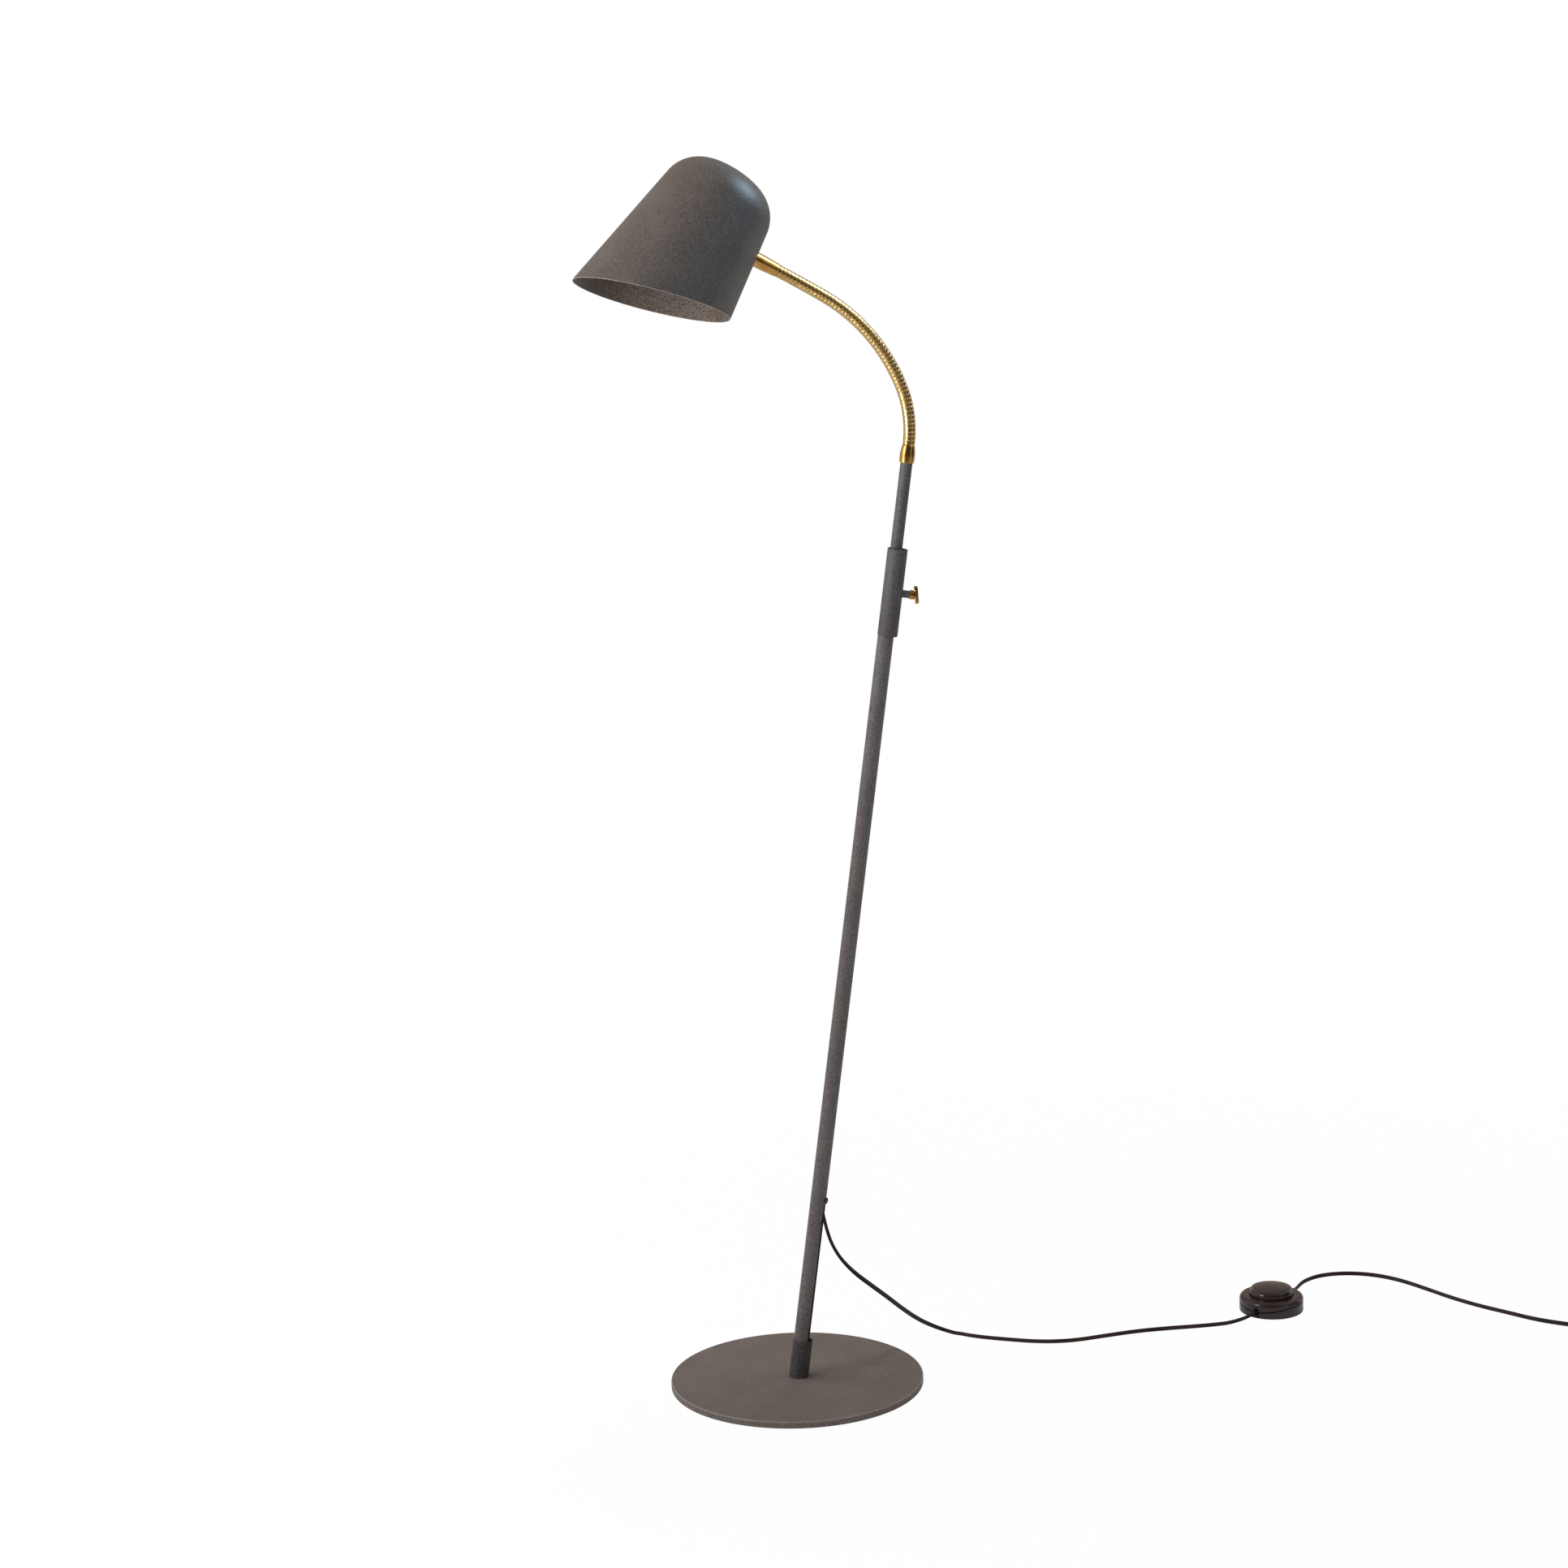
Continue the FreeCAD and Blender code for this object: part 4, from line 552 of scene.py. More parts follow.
def plugPinMesh(name, side):
    # a dark sleeve on half of the pin, bare metal with a rounded end beyond it
    low = plug["relief"] + plug["grip"]
    radius = plug["pin"]
    corners = [(0, low - 2), (radius, low - 2), (radius, low + 10), (radius * 0.93, low + 10.2),
               (radius * 0.93, low + plug["pinLong"], 1.2), (0, low + plug["pinLong"])]
    section = softSection(corners, 6)
    place = placeInside(plugPlace, (side * plug["apart"], 0, 0), (0, 0, 1), (1, 0, 0))
    kinds = np.repeat(np.where(section[:-1, 1] < low + 9.9, 0, 1), 32)
    return gridMesh(name, fromPlace(place, turnedGrid(section, 32)), kinds=kinds)


plugRelief = addPiece("plugRelief", plugReliefMesh(), ["plainPlastic"], "stand")
plugGrip = addPiece("plugGrip", plugGripMesh(), ["plainPlastic"], "stand", ["plug_body"])
plugPins = [addPiece("plugPin" + label, plugPinMesh("plugPin" + label, side), ["plainPlastic", "zinc"],
                     "stand", ["plug_pins"]) for label, side in (("Left", -1), ("Right", 1))]
print("plug made")

foot = {"radius": 130.0, "top": 8.0, "under": 1.0, "edge": 1.2, "recess": 12.0, "recessTop": 5.3, "hole": 3.2,
        "sides": 256}


def footMesh():
    # the disc's section carried round, with a soft upper edge and a recess underneath
    corners = [(foot["hole"], 6.6), (foot["hole"], foot["recessTop"]), (foot["recess"], foot["recessTop"]),
               (foot["recess"], foot["under"], 0.2), (foot["radius"], foot["under"], 0.5),
               (foot["radius"], foot["top"], foot["edge"]), (60, foot["top"]), (foot["hole"], foot["top"])]
    section = softSection(corners, 8)
    flat, wall = foot["top"] - foot["edge"] - 0.05, foot["radius"] - foot["edge"] - 0.05
    # faces on the soft upper edge take the lighter finish, a painted highlight
    onEdge = (section[:, 0] > wall) & (section[:, 1] > flat)
    return gridMesh("footPlate", turnedGrid(section, foot["sides"]), along=True,
                    kinds=np.repeat(onEdge, foot["sides"]))


addPiece("footPlate", footMesh(), ["footCoat", "paintedEdgeHighlight"], "stand", ["base_plate"])

pole = {"lean": 7.97, "radius": 8.0, "bore": 7.0, "top": 862.0, "slotWide": 5.2, "slotTop": 187.0,
        "slotBearing": -22.0}
lean = math.radians(pole["lean"])
alongPole = np.array([math.sin(lean), 0, math.cos(lean)])
polePlace = placeAt((0, 0, foot["top"]), alongPole, (1, 0, 0))


def groundedRow(grid):
    # where the height is below zero the point slides along the pole to the foot's top
    ground = grid[..., 0] * math.tan(lean)
    return np.where(grid[..., 2] < 0, ground, grid[..., 2])


def poleTubeMesh():
    # one wall section, up the outside and down the inside, carried round
    corners = [(pole["radius"], 500), (pole["radius"], pole["top"], 0.25), (pole["bore"], pole["top"], 0.25),
               (pole["bore"], pole["slotTop"]), (pole["radius"], pole["slotTop"]), (pole["radius"], 300)]
    return turnedMesh("poleTube", polePlace, corners, loop=True)


def poleFootMesh():
    # the slotted end: the same wall, but its angle stops at the slot's two flat sides
    share = np.linspace(0, 1, 81)
    levels = (-1, 40, 120, pole["slotTop"])
    grids = []
    for radius, heights in ((pole["radius"], levels), (pole["bore"], levels[::-1])):
        half = math.asin(pole["slotWide"] / 2 / radius)
        angle = math.radians(pole["slotBearing"]) + half + share * (2 * math.pi - 2 * half)
        grids.append(ringPoints(radius, angle, np.array(heights)[:, None]))
    grid = np.vstack(grids)
    grid[..., 2] = groundedRow(grid)
    return gridMesh("poleFoot", fromPlace(polePlace, grid), around=False, along=True, caps=True)


addPiece("poleTube", poleTubeMesh(), ["poleCoatPaintedLight"], "stand", ["pole_lower"])
addPiece("poleFoot", poleFootMesh(), ["poleCoatPaintedLight"], "stand", ["pole_lower"])

# a sleeve at the foot and one at the top of the pole
sleeve = {"radius": 10.0, "offset": 1.5, "bore": 8.05, "mouth": 8.9, "edge": 0.35, "sides": 144}


def roundFrom(radius, offset, angle):
    # how far a circle set off to one side is from the pole's axis, at each angle
    return offset * np.cos(angle) + np.sqrt(radius ** 2 - (offset * np.sin(angle)) ** 2)


def sleeveMesh(name, low, top, mouthDepth, grounded):
    # an off-centre skin round a centred bore; the mouth is the wider of the bore and an off-centre circle
    angle = np.linspace(0, 2 * math.pi, sleeve["sides"], endpoint=False)
    outer = roundFrom(sleeve["radius"], sleeve["offset"], angle)
    bore = sleeve["bore"]
    mouth = np.maximum(roundFrom(sleeve["mouth"], sleeve["offset"], angle), bore)
    edge = np.minimum(sleeve["edge"], (outer - mouth) * 0.45)
    turn = np.linspace(0, math.pi / 2, 6)
    rows = [(outer, low), (outer, low + 0.6 * (top - low)), (outer, top - edge * 1.3)]
    rows += [(outer - edge + edge * np.cos(step), top - edge + edge * np.sin(step)) for step in turn]
    rows += [(mouth + edge - edge * np.sin(step), top - edge + edge * np.cos(step)) for step in turn]
    rows += [(mouth, top - edge * 1.3), (mouth, top - mouthDepth), (bore, top - mouthDepth - 0.02), (bore, low)]
    grid = rowsGrid(rows, angle)
    if grounded:
        grid[..., 2] = groundedRow(grid)
    return gridMesh(name, fromPlace(polePlace, grid), along=True)


addPiece("footSleeve", sleeveMesh("footSleeve", -1, 40, 12, True), ["socketCoat"], "stand",
         ["base_socket"])
addPiece("topSleeve", sleeveMesh("topSleeve", 778, 865, 2.5, False), ["tubeCoatPaintedShade"], "stand",
         ["clamp_collar"])

bearing = math.radians(pole["slotBearing"])
grommetPlace = placeInside(polePlace, (0, 0, 191.5), (math.cos(bearing), math.sin(bearing), 0), (0, 0, 1))
addPiece("cordGrommet", turnedMesh("cordGrommet", grommetPlace, [
    (0, 7.2), (2.2, 7.2), (2.2, 8.0), (3.45, 8.0), (3.45, 8.9, 0.3), (2.6, 9.9, 0.8), (0, 10.1)], 40),
    ["plainPlastic"], "stand", ["cord_grommet"])
addPiece("poleTopBush", turnedMesh("poleTopBush", polePlace, [
    (6.98, 850), (6.98, 862), (7.95, 862, 0.15), (7.95, 863.2, 0.35), (6.09, 863.2, 0.3), (6.09, 840),
    (6.98, 840), (6.98, 845)], 64, loop=True), ["plainPlastic"], "stand", ["pole_top_bush"])

clamp = {"at": 821.0, "face": 18.0, "boss": 3.75, "neck": 4.6, "neckStart": 18.1, "wingLow": 23.3, "tilt": 11.0,
         "wingLong": 17.7, "wingWide": 5.5, "wingThick": 3.9, "wingEdge": 0.9}
clampPlace = placeInside(polePlace, (0, 0, clamp["at"]), (1, 0, 0), (0, 0, -1))
tilt = math.radians(clamp["tilt"])
wingPlace = placeInside(clampPlace, (0, 0, clamp["wingLow"]), (-math.sin(tilt), 0, math.cos(tilt)),
                        (math.cos(tilt), 0, math.sin(tilt)))
addPiece("clampBoss", turnedMesh("clampBoss", clampPlace, [
    (clamp["boss"], 14), (clamp["boss"], clamp["face"], 0.5), (3.06, clamp["face"], 0.2), (3.06, 9.4),
    (clamp["boss"], 9.4), (clamp["boss"], 12)], 64, loop=True),
    ["tubeCoatPaintedShade"], "stand", ["clamp_boss"])


def clampNeckMesh():
    # a turned barrel with chamfers, whose outer end leans with the wing
    start, neck = clamp["neckStart"], clamp["neck"]
    section = softSection([
        (0, 9.4), (2.95, 9.4), (2.95, start), (neck - 0.8, start), (neck, start + 0.8, 0.3),
        (neck, start + 4.4, 0.3), (neck - 0.5, start + 5.0), (neck - 0.9, start + 5.25), (0, start + 5.25)], 4)
    grid = turnedGrid(section, 72)
    share = np.clip((grid[..., 2] - start - 1) / 4.2, 0, 1)
    grid[..., 2] += share * grid[..., 0] * math.tan(tilt)
    return gridMesh("clampNeck", fromPlace(clampPlace, grid))


def wingMesh():
    # a bar with half-round ends, drawn inwards near both faces so that its edges are soft
    half, edge = clamp["wingWide"] / 2, clamp["wingEdge"]
    angle = np.linspace(0, 2 * math.pi, 72, endpoint=False)
    turn = np.linspace(0, math.pi / 2, 7)
    inset = edge - edge * np.sin(turn)
    inset = np.concatenate([inset, inset[::-1]])[:, None]
    height = np.concatenate([edge - edge * np.cos(turn), (clamp["wingThick"] - edge + edge * np.cos(turn))[::-1]])
    grid = ringPoints(half - inset, angle, height[:, None])
    grid[..., 0] += np.sign(np.cos(angle)) * (clamp["wingLong"] / 2 - half)
    return gridMesh("clampWing", fromPlace(wingPlace, grid), caps=True)


addPiece("clampNeck", clampNeckMesh(), ["brass"], "clamp_screw", ["clamp_screw"])
addPiece("clampWing", wingMesh(), ["brass"], "clamp_screw", ["clamp_wing"])
print("pole and clamp made")

tube = {"radius": 6.0, "bore": 5.2, "low": 495.0, "top": 960.0}
addPiece("upperTube", turnedMesh("upperTube", polePlace, [
    (tube["radius"], 700), (tube["radius"], tube["top"], 0.2), (tube["bore"], tube["top"], 0.2),
    (tube["bore"], tube["low"], 0.2), (tube["radius"], tube["low"], 0.2), (tube["radius"], 600)], loop=True),
    ["tubeCoatPaintedShade"], "mast", ["upper_tube"])
ferrule = {"low": 950.5, "mouth": 967.83, "knots": [
    (950.9, 7.22), (952.2, 7.3), (955, 7.42), (957.8, 7.45), (960, 7.34), (962.2, 7.06), (964.2, 6.72),
    (966, 6.42), (967.1, 6.25)]}


def lowerFerruleMesh():
    # a smooth line through the ferrule's radii, closed by the bore that holds the tube
    outside = smoothLine([(radius, height) for height, radius in ferrule["knots"]], 48)
    thin, low, mouth = outside[-1, 0], ferrule["low"], ferrule["mouth"]
    section = np.vstack([outside, [thin - 0.12, 967.6], [thin - 0.4, mouth], [5.05, mouth], [5.05, 967.5],
                         [4.02, 967.5], [4.02, 960.1], [6.02, 960.1], [6.02, low], [6.9, low], [7.08, low + 0.1]])
    return gridMesh("lowerFerrule", fromPlace(polePlace, turnedGrid(section, 96)), along=True)


addPiece("lowerFerrule", lowerFerruleMesh(), ["brass"], "mast", ["ferrule_lower"])

neck = {"start": 968.2, "bearing": 15.0, "stretches": [(60.0, 30.0), (120.0, 36.5), (53.0, 2.65)], "links": 14,
        "ribs": 4, "rib": 5.98, "groove": 5.66, "wire": 0.075, "wireHigh": 0.16, "fullness": 5.0, "ball": 5.35,
        "ballTurn": (-0.062, 0.86), "cavity": 5.45, "cavityTurn": (0.87, 0.075), "endRows": 9, "lead": 2.35,
        "sides": 60, "lip": 0.37}
neckAngle = math.radians(neck["bearing"])
backward = np.array([-math.cos(lean), 0, math.sin(lean)])
reachWay = backward * math.cos(neckAngle) + np.array([0, -1, 0]) * math.sin(neckAngle)
neckNormal = np.cross(alongPole, reachWay)
neckStart = fromPlace(polePlace, np.array([0, 0, neck["start"]]))
neckLong = sum(length for length, bend in neck["stretches"])
linkLong = neckLong / neck["links"]


def neckAt(distance):
    # three arcs in one plane, each turning evenly by its own angle over its own length
    left = np.asarray(distance, float)
    reach, rise, angle = 0 * left, 0 * left, 0 * left
    last = len(neck["stretches"]) - 1
    for index, (length, bend) in enumerate(neck["stretches"]):
        low = -1e9 if index == 0 else 0.0
        run = np.clip(left, low, 1e9 if index == last else length)
        radius = length / math.radians(bend)
        reach = reach + radius * (np.cos(angle) - np.cos(angle + run / radius))
        rise = rise + radius * (np.sin(angle + run / radius) - np.sin(angle))
        angle = angle + run / radius
        left = left - run
    spot = neckStart + reach[..., None] * reachWay + rise[..., None] * alongPole
    return spot, np.sin(angle)[..., None] * reachWay + np.cos(angle)[..., None] * alongPole


def acrossNeck(spot, ahead, radius, angle):
    # rings square to the neck: the centre plus the radius along two directions across it
    other = np.cross(ahead, neckNormal)
    return (spot[:, None] + radius[..., None] * (np.cos(angle)[None, :, None] * neckNormal
                                                 + np.sin(angle)[None, :, None] * other[:, None]))


def ribRadius(phase):
    # each rib falls to the groove as the side of a rounded square does, and the wire in the seam is half round
    fromSeam = np.minimum(phase, 1 - phase)
    inWire = fromSeam < neck["wire"]
    across = np.clip((0.5 - fromSeam) / (0.5 - neck["wire"]), 0, 1)
    rib = neck["groove"] + (neck["rib"] - neck["groove"]) * (1 - across ** neck["fullness"]) ** (1 / neck["fullness"])
    wire = neck["groove"] + neck["wireHigh"] * np.sqrt(np.clip(1 - (fromSeam / neck["wire"]) ** 2, 0, 1))
    return np.where(inWire, wire, rib), inWire


def neckLinkMesh(name, number):
    # ribs wound round the link as a screw thread: each row of the strip keeps one place across the rib, so
    # distance grows with the turn; the strip is held back at both ends, where a ball and a hollow close it
    low, high = number * linkLong, (number + 1) * linkLong
    pitch, first, last = linkLong / neck["ribs"], low + neck["lip"], high - neck["lip"]
    wire = neck["wire"]
    across = np.concatenate([
        np.linspace(0, wire, 4)[:-1], [wire - 0.002, wire + 0.002, wire + 0.02], np.linspace(0.15, 0.85, 9),
        [0.98 - wire, 0.998 - wire, 1.002 - wire], np.linspace(1 - wire, 1, 4)[1:]])
    turns = neck["ribs"] + 1
    angle = np.linspace(0, 2 * math.pi * turns, neck["sides"] * turns + 1)
    wanted = low + pitch * (angle[None] / (2 * math.pi) + across[:, None] - 1)
    distance = np.clip(wanted, first, last)
    phase = np.mod((distance - low) / pitch - angle[None] / (2 * math.pi) + 1, 1)
    phase = np.where((wanted > first) & (wanted < last), across[:, None], phase)
    radius, inWire = ribRadius(phase)
    spot, ahead = neckAt(distance.ravel())
    swing = np.broadcast_to(angle, distance.shape).ravel()[:, None]
    outward = np.cos(swing) * neckNormal + np.sin(swing) * np.cross(ahead, neckNormal)
    strip = spot + radius.ravel()[:, None] * outward
    kinds = (np.abs(0.5 - (across[:-1] + across[1:]) / 2) > 0.5 - wire).astype(int)
    skin = gridMesh(name + "Skin", strip.reshape(*distance.shape, 3), around=False,
                    kinds=np.repeat(kinds, len(angle) - 1), sharp=50)
    circle = np.linspace(0, 2 * math.pi, neck["sides"], endpoint=False)

    def endRing(at):
        # the ribs' own radius all round one place on the centre line
        reach = ribRadius(np.mod((at - low) / pitch - circle / (2 * math.pi) + 1, 1))[0]
        return acrossNeck(*neckAt(np.array([at])), reach[None], circle)

    def ballRings(radius, at, limits):
        # rings on a ball round one place: the sine runs along the neck, the cosine is the ring's radius
        spot, ahead = neckAt(np.array([at]))
        turn = np.linspace(*limits, neck["endRows"])[:, None]
        return acrossNeck(spot + ahead * radius * np.sin(turn), np.repeat(ahead, len(turn), axis=0),
                          radius * np.cos(turn) + 0 * circle, circle)

    inside = np.vstack([endRing(last), ballRings(neck["ball"], high, neck["ballTurn"]),
                        ballRings(neck["cavity"], low, neck["cavityTurn"]), endRing(first)])
    lining = gridMesh(name + "Inside", inside, kinds=np.ones((len(inside) - 1) * neck["sides"]))
    return joinedMesh(name, [skin, lining], 50)


def neckLeadMesh(name, number):
    # the lead inside one link, round, following the neck's centre line
    distance = np.linspace(number * linkLong + 0.2, (number + 1) * linkLong - 0.2, 7)
    angle = np.linspace(0, 2 * math.pi, 16, endpoint=False)
    return gridMesh(name, acrossNeck(*neckAt(distance), np.full((7, 16), neck["lead"]), angle), caps=True)


for number in range(neck["links"]):
    label = "%02d" % (number + 1)
    addPiece("neckLink" + label, neckLinkMesh("neckLink" + label, number), ["ribBrass", "seamWire"],
             "neck_link_" + label, ["neck_link_" + label])
    addPiece("neckLead" + label, neckLeadMesh("neckLead" + label, number), ["cordVinyl"],
             "neck_link_" + label, ["neck_lead"])
print("neck made:", neck["links"], "links")

head = {"roll": 10.3, "ferruleLong": 26.3, "thin": 6.35, "thick": 7.2, "flare": 8.6, "side": 59.4, "above": 55.2,
        "long": 145.9, "cut": 19.1, "corner": 36.4, "crown": 195.0, "wall": 1.0, "sides": 224, "domeDrop": 13.0}
neckEnd, headAhead = [value[0] for value in neckAt(np.array([neckLong]))]
flare = math.radians(head["flare"])
headUp = turnedAbout(-np.cross(neckNormal, headAhead), headAhead, head["roll"])
shadeAxis = headUp * math.cos(flare) - headAhead * math.sin(flare)
inward = headAhead * math.cos(flare) + headUp * math.sin(flare)
headPlace = placeAt(neckEnd + headAhead * head["ferruleLong"] + inward * head["side"], shadeAxis, -inward)
wallTurn = math.pi / 2 - flare
ferrulePlace = placeInside(headPlace, (head["side"], 0, 0), (math.sin(wallTurn), 0, math.cos(wallTurn)),
                           (math.cos(wallTurn), 0, -math.sin(wallTurn)))


def upperFerruleMesh():
    # a taper whose wide end is hollowed to lie on the round shade
    thick, thin, long = head["thick"], head["thin"], head["ferruleLong"]
    outside = smoothLine([(thick, 0.4), (thick, 4), (thick, 8), (7.1, 11), (6.9, 15), (6.65, 20), (6.42, 24.6),
                          (thin, 25.4)], 48)
    turn = np.linspace(0.075, 0.66, 8)
    hollow = np.stack([neck["cavity"] * np.cos(turn), long - neck["cavity"] * np.sin(turn)], axis=-1)
    section = np.vstack([[5.3, 0.05], [thick - 0.3, 0.05], [thick - 0.08, 0.15], outside, [thin - 0.12, 25.7],
                         [thin - 0.4, long - neck["lip"]], hollow, [4.3, 11.9], [5.3, 11.9]])
    grid = turnedGrid(section, 96)
    near = np.clip(1 - grid[..., 2] / 3, 0, 1)
    grid[..., 2] -= near * (head["side"] - np.sqrt(head["side"] ** 2 - grid[..., 1] ** 2))
    return gridMesh("upperFerrule", fromPlace(ferrulePlace, grid), along=True)


addPiece("upperFerrule", upperFerruleMesh(), ["brass"], "head", ["ferrule_upper"])


def shadeSkin(inset, angle):
    # crown arc, corner arc and cone, this far inside the outer skin; the cone stops at the slanted cut,
    # so its lowest height depends on the angle round the shade
    slope = math.tan(flare)
    crown, corner = head["crown"] - inset, head["corner"] - inset
    crownMiddle = head["above"] - head["crown"]
    innerLine = (head["side"] * math.cos(flare) - head["corner"]) / math.cos(flare)
    reach = head["crown"] - head["corner"]
    a, b = 1 + slope ** 2, -2 * (innerLine * slope + crownMiddle)
    c = innerLine ** 2 + crownMiddle ** 2 - reach ** 2
    middleHigh = (-b + math.sqrt(b * b - 4 * a * c)) / (2 * a)
    middleOut = innerLine - slope * middleHigh
    meeting = math.atan2(middleOut, middleHigh - crownMiddle)
    first = np.linspace(0, meeting, 15)[:-1]
    second = np.linspace(meeting, math.pi / 2 - flare, 22)
    radius = np.concatenate([crown * np.sin(first), middleOut + corner * np.sin(second)])
    height = np.concatenate([crownMiddle + crown * np.cos(first), middleHigh + corner * np.cos(second)])
    sideHere = head["side"] - inset / math.cos(flare)
    cutSlope, cutMiddle = math.tan(math.radians(head["cut"])), head["above"] - head["long"] + 0.3
    lowest = (sideHere * cutSlope * np.cos(angle) + cutMiddle) / (1 + slope * cutSlope * np.cos(angle))
    share = np.concatenate([np.linspace(0, 0.97, 16)[1:], [0.985, 0.995, 1.0]])[:, None]
    coneHeight = height[-1] + (lowest - height[-1]) * share
    coneRadius = sideHere - slope * coneHeight
    full = np.ones((1, len(angle)))
    return np.vstack([radius[:, None] * full, coneRadius]), np.vstack([height[:, None] * full, coneHeight])


def shadeMesh():
    # outer skin down, a half-round edge, inner skin up again
    angle = np.linspace(0, 2 * math.pi, head["sides"], endpoint=False)
    outRadius, outHeight = shadeSkin(0.0, angle)
    inRadius, inHeight = shadeSkin(head["wall"], angle)
    turn = np.linspace(0, math.pi, 8)[1:-1, None]
    middleRadius, middleHeight = (outRadius[-1] + inRadius[-1]) / 2, (outHeight[-1] + inHeight[-1]) / 2
    rimRadius = middleRadius + (outRadius[-1] - inRadius[-1]) / 2 * np.cos(turn)
    rimHeight = middleHeight + (outHeight[-1] - inHeight[-1]) / 2 * np.cos(turn) - 0.3 * np.sin(turn)
    radius = np.vstack([outRadius, rimRadius, inRadius[::-1]])
    height = np.vstack([outHeight, rimHeight, inHeight[::-1]])
    grid = ringPoints(radius, angle, height)
    kinds = np.zeros((len(grid) - 1, len(angle)))
    # the rounded rim takes the lighter edge finish, a painted highlight
    kinds[len(outRadius) - 1:len(outRadius) + len(rimRadius)] = 2
    # the inner skin takes the lining, whose warm brown tone is painted bounce light
    kinds[len(outRadius) + len(rimRadius):] = 1
    return gridMesh("shade", fromPlace(headPlace, grid), kinds=kinds.ravel())


addPiece("shade", shadeMesh(), ["shadeCoat", "shadeLiningPaintedBounce", "paintedEdgeHighlight"], "head", ["shade"])
domePlace = placeInside(ferrulePlace, (head["domeDrop"], 0, 0), (0, 0, 1), (1, 0, 0))
addPiece("domeScrew", turnedMesh("domeScrew", domePlace, [
    (0, -4.9), (1.85, -4.9), (1.85, 0.0), (3.95, 0.0), (3.95, 0.7, 0.3), (3.2, 1.5, 1.0), (1.7, 1.95, 1.2),
    (0, 2.0)], 56), ["plainPlastic"], "head", ["bracket_screw"])
print("head made")

# lampholder and bulb, heights running down from the arm
holderPlace = placeInside(headPlace, (0, 0, 24.4), (0, 0, -1), (1, 0, 0))
addPiece("holderCap", turnedMesh("holderCap", holderPlace, [
    (4.85, -4), (4.85, 0), (10.6, 0, 1.2), (13.9, 4.4, 1.5), (13.95, 14, 0.3), (12.45, 14, 0.2), (12.45, 3.2),
    (3.25, 3.2), (3.25, -8), (4.85, -8), (4.85, -6)], 80, loop=True),
    ["plainPlastic"], "head", ["lampholder_cap"])


def holderBodyMesh():
    # a plain sleeve with a row of fine turned ribs for the fingers
    height = np.linspace(15.2, 37.2, 120)
    ripple = 0.35 * (0.5 - 0.5 * np.cos(2 * math.pi * (height - 15.2) / 2.0)) * ((height > 19) & (height < 33))
    outside = np.stack([13.95 - ripple, height], axis=-1)
    section = np.vstack([[13.6, 14.15], [13.95, 14.5], outside, [13.9, 37.7], [13.5, 38.0], [8.1, 38.0], [8.0, 37.6],
                         [8.0, 22.2], [1.9, 22.1], [1.9, 19.1], [5.9, 19.1], [5.9, 14.1]])
    return gridMesh("holderBody", fromPlace(holderPlace, turnedGrid(section, 80)), along=True)


def bulbCapMesh():
    # a thin metal cap whose skin rises and falls as a round thread, over a dark glass ring and a contact
    height = np.linspace(29.2, 46.2, 110)
    thread = 0.38 * np.sin(2 * math.pi * (height - 29.2) / 2.8) * np.clip((44.5 - height) / 2, 0, 1)
    outside = np.stack([6.45 + thread, height], axis=-1)
    section = np.vstack([[0, 24.6], [2.6, 24.7], [3.4, 25.2], [3.4, 26.4], [5.6, 28.2], [6.3, 28.8], outside,
                         [6.6, 46.5], [0, 46.5]])
    kinds = np.repeat(np.where((section[:-1, 1] > 26.3) & (section[:-1, 1] < 28.1), 1, 0), 64)
    return gridMesh("bulbCap", fromPlace(holderPlace, turnedGrid(section, 64)), kinds=kinds)


def bulbGlassMesh():
    # a neck that widens in a smooth line into a globe
    globe, middle = 22.4, 75.05
    turn = np.linspace(math.radians(-40), math.radians(90), 34)
    knots = smoothLine([(6.7, 46.7), (8.0, 47.2), (8.5, 48.6), (9.9, 51.4), (13.2, 56.4),
                        (globe * math.cos(turn[0]), middle + globe * math.sin(turn[0]))], 30)
    ball = np.stack([globe * np.cos(turn), middle + globe * np.sin(turn)], axis=-1)[1:]
    section = np.vstack([[0, 46.6], knots, ball])
    section[-1, 0] = 0
    return gridMesh("bulbGlass", fromPlace(holderPlace, turnedGrid(section, 96)), sharp=60)


addPiece("holderBody", holderBodyMesh(), ["plainPlastic"], "head", ["lampholder_body"])
addPiece("bulbCap", bulbCapMesh(), ["aluminium", "plainPlastic"], "bulb", ["bulb_cap"])
addPiece("bulbGlass", bulbGlassMesh(), ["opalGlass"], "bulb", ["bulb_glass"])
print("lampholder and bulb made")

# the foot switch's x runs along the cord
switch = {"place": (514.7, 180.6, 0.0), "bearing": 54.0, "radius": 34.3, "low": 1.0, "top": 18.5, "edge": 4.5,
          "wall": 2.0, "seamLow": 8.0, "seamHigh": 14.0, "seamGap": 0.8, "hole": 3.3, "holeHigh": 8.0,
          "buttonHole": 23.6, "button": 23.2, "buttonTop": 28.0, "sides": 288, "travel": 4.0, "spare": 0.05}
spring = {"radius": 8.0, "wire": 0.55, "turns": 6, "low": 12.05, "top": 25.75}
turnSwitch = math.radians(switch["bearing"])
switchPlace = placeAt(switch["place"], (0, 0, 1), (math.cos(turnSwitch), math.sin(turnSwitch), 0))


def switchAngles():
    # angles crowded near the cord's two holes
    even = np.linspace(0, 2 * math.pi, switch["sides"], endpoint=False)
    return even - 0.38 * np.sin(2 * even)


